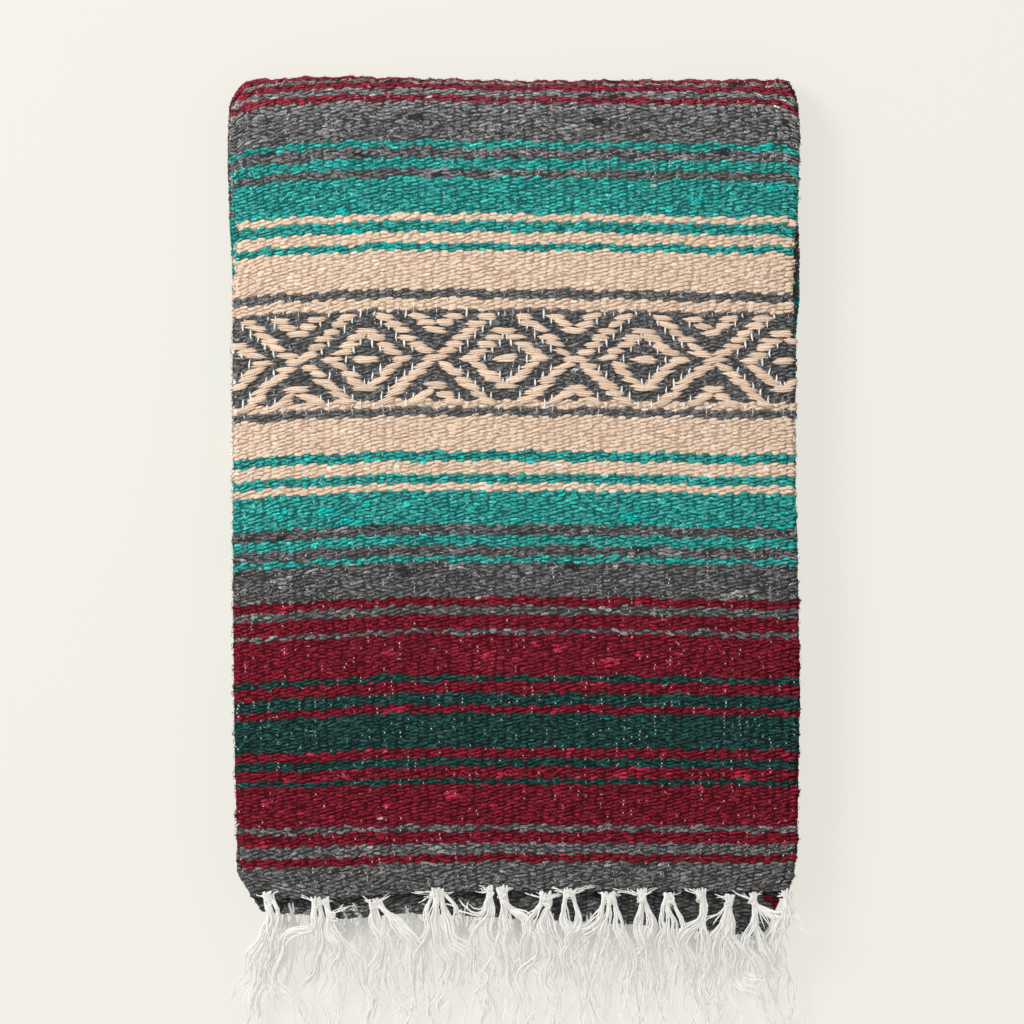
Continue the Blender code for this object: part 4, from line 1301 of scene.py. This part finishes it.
YARN_SHINE = 0.08
# The colour of the cotton's glow, painted light that lifts its shade.
PAINTED_GLOW = (1.0, 0.985, 0.94, 1.0)
FIBRE_TWIST = {"Rotation": (0.0, 0.0, math.radians(-16)), "Scale": (1.5, 2.5, 1.0)}
FIBRE_NOISE = {"Scale": 1.0, "Detail": 2.0, "Roughness": 0.65}
FIBRE_RANGE = {"From Min": 0.37, "From Max": 0.63, "To Min": -1.0, "To Max": 1.0}
FIBRE_HEIGHT = 0.0003
YARN_LINKS = (
    # from a node's output to a node's input
    ("place", "Vector", "twist", "Vector"),
    ("twist", "Vector", "fibres", "Vector"),
    ("fibres", "Fac", "spread", "Value"),
    ("spread", "Result", "strength", 0),
    ("tint", "Alpha", "strength", 1),
    ("tint", "Color", "coloured", 0),
    ("strength", "Value", "coloured", "Scale"),
    ("coloured", "Vector", "surface", "Base Color"),
    ("fibres", "Fac", "raised", "Height"),
    ("raised", "Normal", "surface", "Normal"),
)


def set_inputs(shader, inputs):
    for key, value in inputs.items():
        shader.inputs[key].default_value = value


def new_material(name, inputs):
    """A material and its surface."""
    made = bpy.data.materials.new(name)
    made.use_nodes = True
    surface = made.node_tree.nodes["Principled BSDF"]
    set_inputs(surface, inputs)
    return made, surface


def yarn_material(name, roughness, bump, painted_glow=0.0):
    """Yarn: the tint of its mesh, mottled along slanting fibres, which stand up a little. A glow, when
    given, is painted light.
    """
    made, surface = new_material(name, {"Roughness": roughness, "Specular IOR Level": YARN_SHINE})
    if painted_glow:
        set_inputs(surface, {"Emission Color": PAINTED_GLOW, "Emission Strength": painted_glow})

    def node(kind, inputs=None, **settings):
        added = made.node_tree.nodes.new(kind)
        for key, value in settings.items():
            setattr(added, key, value)
        set_inputs(added, inputs or {})
        return added

    nodes = {
        "surface": surface,
        "tint": node("ShaderNodeAttribute", attribute_name="tint"),
        "place": node("ShaderNodeAttribute", attribute_name="yarn"),
        "twist": node("ShaderNodeMapping", FIBRE_TWIST),
        "fibres": node("ShaderNodeTexNoise", FIBRE_NOISE),
        "spread": node("ShaderNodeMapRange", FIBRE_RANGE),
        "strength": node("ShaderNodeMath", {2: 1.0}, operation="MULTIPLY_ADD"),
        "coloured": node("ShaderNodeVectorMath", operation="SCALE"),
        "raised": node("ShaderNodeBump", {"Strength": bump, "Distance": FIBRE_HEIGHT}),
    }
    for source, output, target, into in YARN_LINKS:
        made.node_tree.links.new(nodes[source].outputs[output], nodes[target].inputs[into])
    return made


# ---- The stage

PIXEL = 0.565
PHOTO_SIDE = 1024
# What the camera is over: the photograph's middle, whose pixel is given from the one at x = 0, y = 0.
PHOTO_ORIGIN = (515, 76)
MIDDLE = PHOTO_SIDE / 2
AIM = ((MIDDLE - PHOTO_ORIGIN[0]) * PIXEL, (PHOTO_ORIGIN[1] - MIDDLE) * PIXEL, 34.0)
CAMERA_HEIGHT = 12.0
SENSOR = 36.0
FLOOR_SIDE = 8.0
FLOOR_PAPER = {
    "Base Color": (0.15, 0.147, 0.133, 1.0),
    "Roughness": 0.9,
    "Specular IOR Level": 0.2,
    "Emission Color": (1.0, 0.985, 0.90, 1.0),
    "Emission Strength": 0.705,
}
SKY = {"Color": (1.0, 1.0, 1.0, 1.0), "Strength": 0.55}
SOFTBOXES = (
    # name, place, side and power
    ("softbox_left", (-1.3, 0.9, 1.7), 1.0, 44.0),
    ("softbox_right", (1.4, -0.3, 2.2), 1.8, 6.0),
)


def set_camera():
    data = bpy.data.cameras.new("camera")
    data.sensor_width = SENSOR
    data.lens = SENSOR * (CAMERA_HEIGHT * 1000 - AIM[2]) / (PHOTO_SIDE * PIXEL)
    data.clip_end = 20.0
    place = ((AIM[0] + SHIFT[0]) / 1000, (AIM[1] + SHIFT[1]) / 1000, CAMERA_HEIGHT)
    bpy.context.scene.camera = add_object("camera", data, place)


def set_floor():
    bpy.ops.mesh.primitive_plane_add(size=FLOOR_SIDE, location=(0, 0, 0))
    floor = bpy.context.object
    floor.name = "floor"
    paper, _ = new_material("floor_paper", FLOOR_PAPER)
    floor.data.materials.append(paper)


def set_lights():
    world = bpy.data.worlds.new("studio")
    world.use_nodes = True
    set_inputs(world.node_tree.nodes["Background"], SKY)
    bpy.context.scene.world = world
    for name, place, side, power in SOFTBOXES:
        data = bpy.data.lights.new(name, "AREA")
        data.size = side
        data.energy = power
        lamp = add_object(name, data, place)
        lamp.rotation_euler = (-Vector(place)).to_track_quat("-Z", "Y").to_euler()
    bpy.context.scene.view_settings.view_transform = "Standard"


yarn_finish = yarn_material("wool_weft", 0.95, 0.9)
# The cotton glows a little, as painted light; the copy for end B's low strands glows more.
glowing_warp_finish = yarn_material("cotton_warp_glow", 0.9, 0.3, 0.20)
low_glowing_warp_finish = yarn_material("cotton_warp_low_glow", 0.9, 0.3, 0.29)
set_camera()
set_floor()
set_lights()

# ---- The cloth

SHEET_DEPTH = 0.55
SHEET_BARE = 0.53
# The sheet under the floats is painted darker, as the shade between them.
GAP_SHADE = 0.88
BARE_SHADE = 0.8


def base_sheet(surface, acrosses, alongs, shift=in_step):
    """The smooth cloth under the floats, painted dark as the shade between them. On the underside it shows
    by itself.
    """
    across, along = np.meshgrid(acrosses, alongs)
    bare = np.clip((along - UNDER_START) / 3, 0, 1) * (along < FRONT_START)
    lift = (SHEET_BARE * bare - SHEET_DEPTH)[None]
    points = lifted(surface, across[None], (along + uneven(across, along))[None], lift)
    yarn = stripe_of((along + shift(across, along)).ravel())
    bare = bare.ravel()
    # Painted shade: the sheet is dark where it shows between the floats.
    between = GAP_SHADE * (1 - YARN["hollow_shade"][yarn])
    shade = (between + (BARE_SHADE - between) * bare)[:, None] ** YARN["shade_power"][yarn]
    tint = np.column_stack((YARN["base"][yarn] * shade, YARN["mottle"][yarn] * bare * BARE_SHADE))
    place = np.stack((across.ravel(), along.ravel(), np.zeros(along.size)), -1)
    size = (len(alongs), len(acrosses))
    uv = np.stack(np.meshgrid(*(np.linspace(0, 1, n) for n in size[::-1])), -1)
    return points.reshape(-1, 3), grid_faces(1, *size), tint, place, uv.reshape(-1, 2)


TOP_PICKS = round(UNDER_START / PICK)
ALL_PICKS = round(FRONT_START / PICK)
LAST_PICK = round(PATH_END / PICK)
# The top is four pieces side by side, each from one warp to another.
STRIPS = ((-1, 18), (18, 36), (36, 54), (54, 75))
for number, warps in enumerate(STRIPS):
    strip = weft(outer_surface, warps, (-2, TOP_PICKS), 10 + number, grid=FLOAT_GRID)
    piece(f"weft_top_{number + 1}", [strip], yarn_finish)
long_floats, float_ends = motif(outer_surface, 21)
piece("motif_floats", long_floats, yarn_finish)
specks = ticks(outer_surface, (0, 73), (2, TOP_PICKS), float_ends, 22)
piece("warp_ticks", [specks], glowing_warp_finish)
FUZZ_PATCHES = (
    # how many, span across, span along, turn, how far it stands off, how much wider
    (12000, (-1.0, SPAN + 5), (0.0, TOP_RUN + 15), 0.5, 0.4, 1.0),
    (600, (SPAN + 3, SPAN + 9), (0.0, TOP_RUN), 1.4, 0.8, 1.8),
    (160, (-2.0, 0.5), (0.0, TOP_RUN), 1.4, 0.5, 1.3),
    (500, (0.0, SPAN), (TOP_RUN + 8, TOP_RUN + 30), 1.2, 0.5, 1.6),
)
piece("wool_fuzz", [fuzz(outer_surface, FUZZ_PATCHES, 26)], yarn_finish)
LOW_WEFTS = (
    # warps and picks: round the front fold, and the two edges of the underside
    ((-1, 75), (ALL_PICKS, LAST_PICK)),
    ((-1, 1), (TOP_PICKS, ALL_PICKS)),
    ((71, 75), (TOP_PICKS, ALL_PICKS)),
)
low_wefts = [weft(outer_surface, *places, 23 + number) for number, places in enumerate(LOW_WEFTS)]
piece("weft_low", low_wefts, yarn_finish)

cloth_sheet = base_sheet(
    outer_surface,
    np.concatenate((np.linspace(-2.5, SPAN, 30), np.linspace(SPAN + 2, SPAN + 11, 6))),
    np.arange(-3, PATH_END, 1.5),
)
cloth = piece("serape_cloth", [cloth_sheet], yarn_finish)
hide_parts("outer_panel")

# ---- The layers below: their folded edges, and their ends in front

EDGE_BANDS = (
    # low, high, how far it lies back, side
    (0.0, 1.0, 0.0, -1),
    (0.0, 0.25, 1.6, 1),
    (0.25, 0.5, 2.7, 1),
    (0.5, 1.0, 0.5, 1),
    (1.0, 1.5, 0.9, 1),
    (1.5, 1.75, 2.3, 1),
)
BAND_INWARD = 3.5
BAND_STEP = 4.4


def edge_band(number, low, high, setback, side):
    """The yarns and the cloth of one folded edge of the layers below the top one."""
    surface = band_surface(low, high, setback, side)
    half = (high - low) / 2 * GROUP_FRONT
    columns = max(1, round(math.pi * half / WARP))
    inner = high <= 1
    run = TOP_RUN + UNDER_RUN + math.pi * (GROUP_BACK * math.ceil(high) + GROUP_FRONT * (not inner))

    def centred(across, along):
        return surface(across - columns / 2 * WARP, along)

    def phase(across, along):
        return INNER_PHASE[side] * inner * (along > INNER_FROM)

    floats = weft(centred, (0, columns), (0, round(run / PICK)), 30 + number, phase)
    wide = half * math.pi / 2 + BAND_INWARD
    return floats, base_sheet(surface, np.linspace(-wide, wide, 9), np.arange(0, run, BAND_STEP), phase)


def end_b_phase(across, along):
    """How far end B's stripes lie from the cloth's."""
    return END_B_PHASE + END_B_CORNER_PHASE * np.exp(-((np.maximum(across, 0) / END_B_CORNER) ** 2))


band_floats, band_sheets = zip(*(edge_band(number, *band) for number, band in enumerate(EDGE_BANDS)))
piece("weft_edges", band_floats, yarn_finish)
edges = piece("layer_edges", band_sheets, yarn_finish)
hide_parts("folded_layers")

SPAN_A = (-145.5, 153.0)
SPAN_B = (-143.0, 140.0)
# Painted shade on the floats of the layers' ends and of end B, which lie under the top sheet.
END_SHADE = 0.92
END_LAYERS = (
    # low, high, how far it lies back, the line of its end, the top above it, its span
    (0, 1, 1.2, end_a, stack_top, SPAN_A),
    (1, 2, 0.5, end_a, stack_top, SPAN_A),
    (2, 3, 1.0, end_a, stack_top, SPAN_A),
    (0, 1, 2.6, end_b, end_b_top, SPAN_B),
    (1, 2, 0.8, end_b, end_b_top, SPAN_B),
    (2, 3, 1.7, end_b, end_b_top, SPAN_B),
)
end_surfaces = [end_layer_surface(*layer) for layer in END_LAYERS]
end_floats = [
    weft(surface, (0, FLAT_WARPS), (-2, 2), 40 + number, painted_shade=END_SHADE)
    for number, surface in enumerate(end_surfaces)
]
end_floats.append(weft(end_b_surface, (-1, 73), (-1, 31), 50, end_b_phase, FLOAT_GRID, END_SHADE))
piece("weft_ends", end_floats, yarn_finish)
layer_grid = (np.linspace(0, SPAN, 60), np.linspace(-4, 4, 7))
end_sheets = [base_sheet(surface, *layer_grid) for surface in end_surfaces]
front = piece("layer_ends", end_sheets[:3], yarn_finish)
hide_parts("folded_layers")
end_b_grid = (np.linspace(-5, SPAN + 5, 60), np.arange(-1.5, 34, 1.1))
end_sheets.append(base_sheet(end_b_surface, *end_b_grid, end_b_phase))
end_cloth = piece("end_b_cloth", end_sheets[3:], yarn_finish)
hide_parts("end_b_panel")

# ---- The two fringes

locks = lock_strands(LOCKS_A, end_a, FALL_A, np.zeros_like, WARP_WHITE, 0.0, 60)
fringe_a = tubes("fringe_a", [*locks, *foot_threads(61), *knots(63)], glowing_warp_finish)
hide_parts("fringe_end_a")
# End B's strands get painted shade near its end.
locks = lock_strands(LOCKS_B, end_b, FALL_B, end_b_droop, LOW_WHITE, 0.52, 62)
fringe_b = tubes("fringe_b", [*locks, *loose_strands(420, 64)], low_glowing_warp_finish)
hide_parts("fringe_end_b")
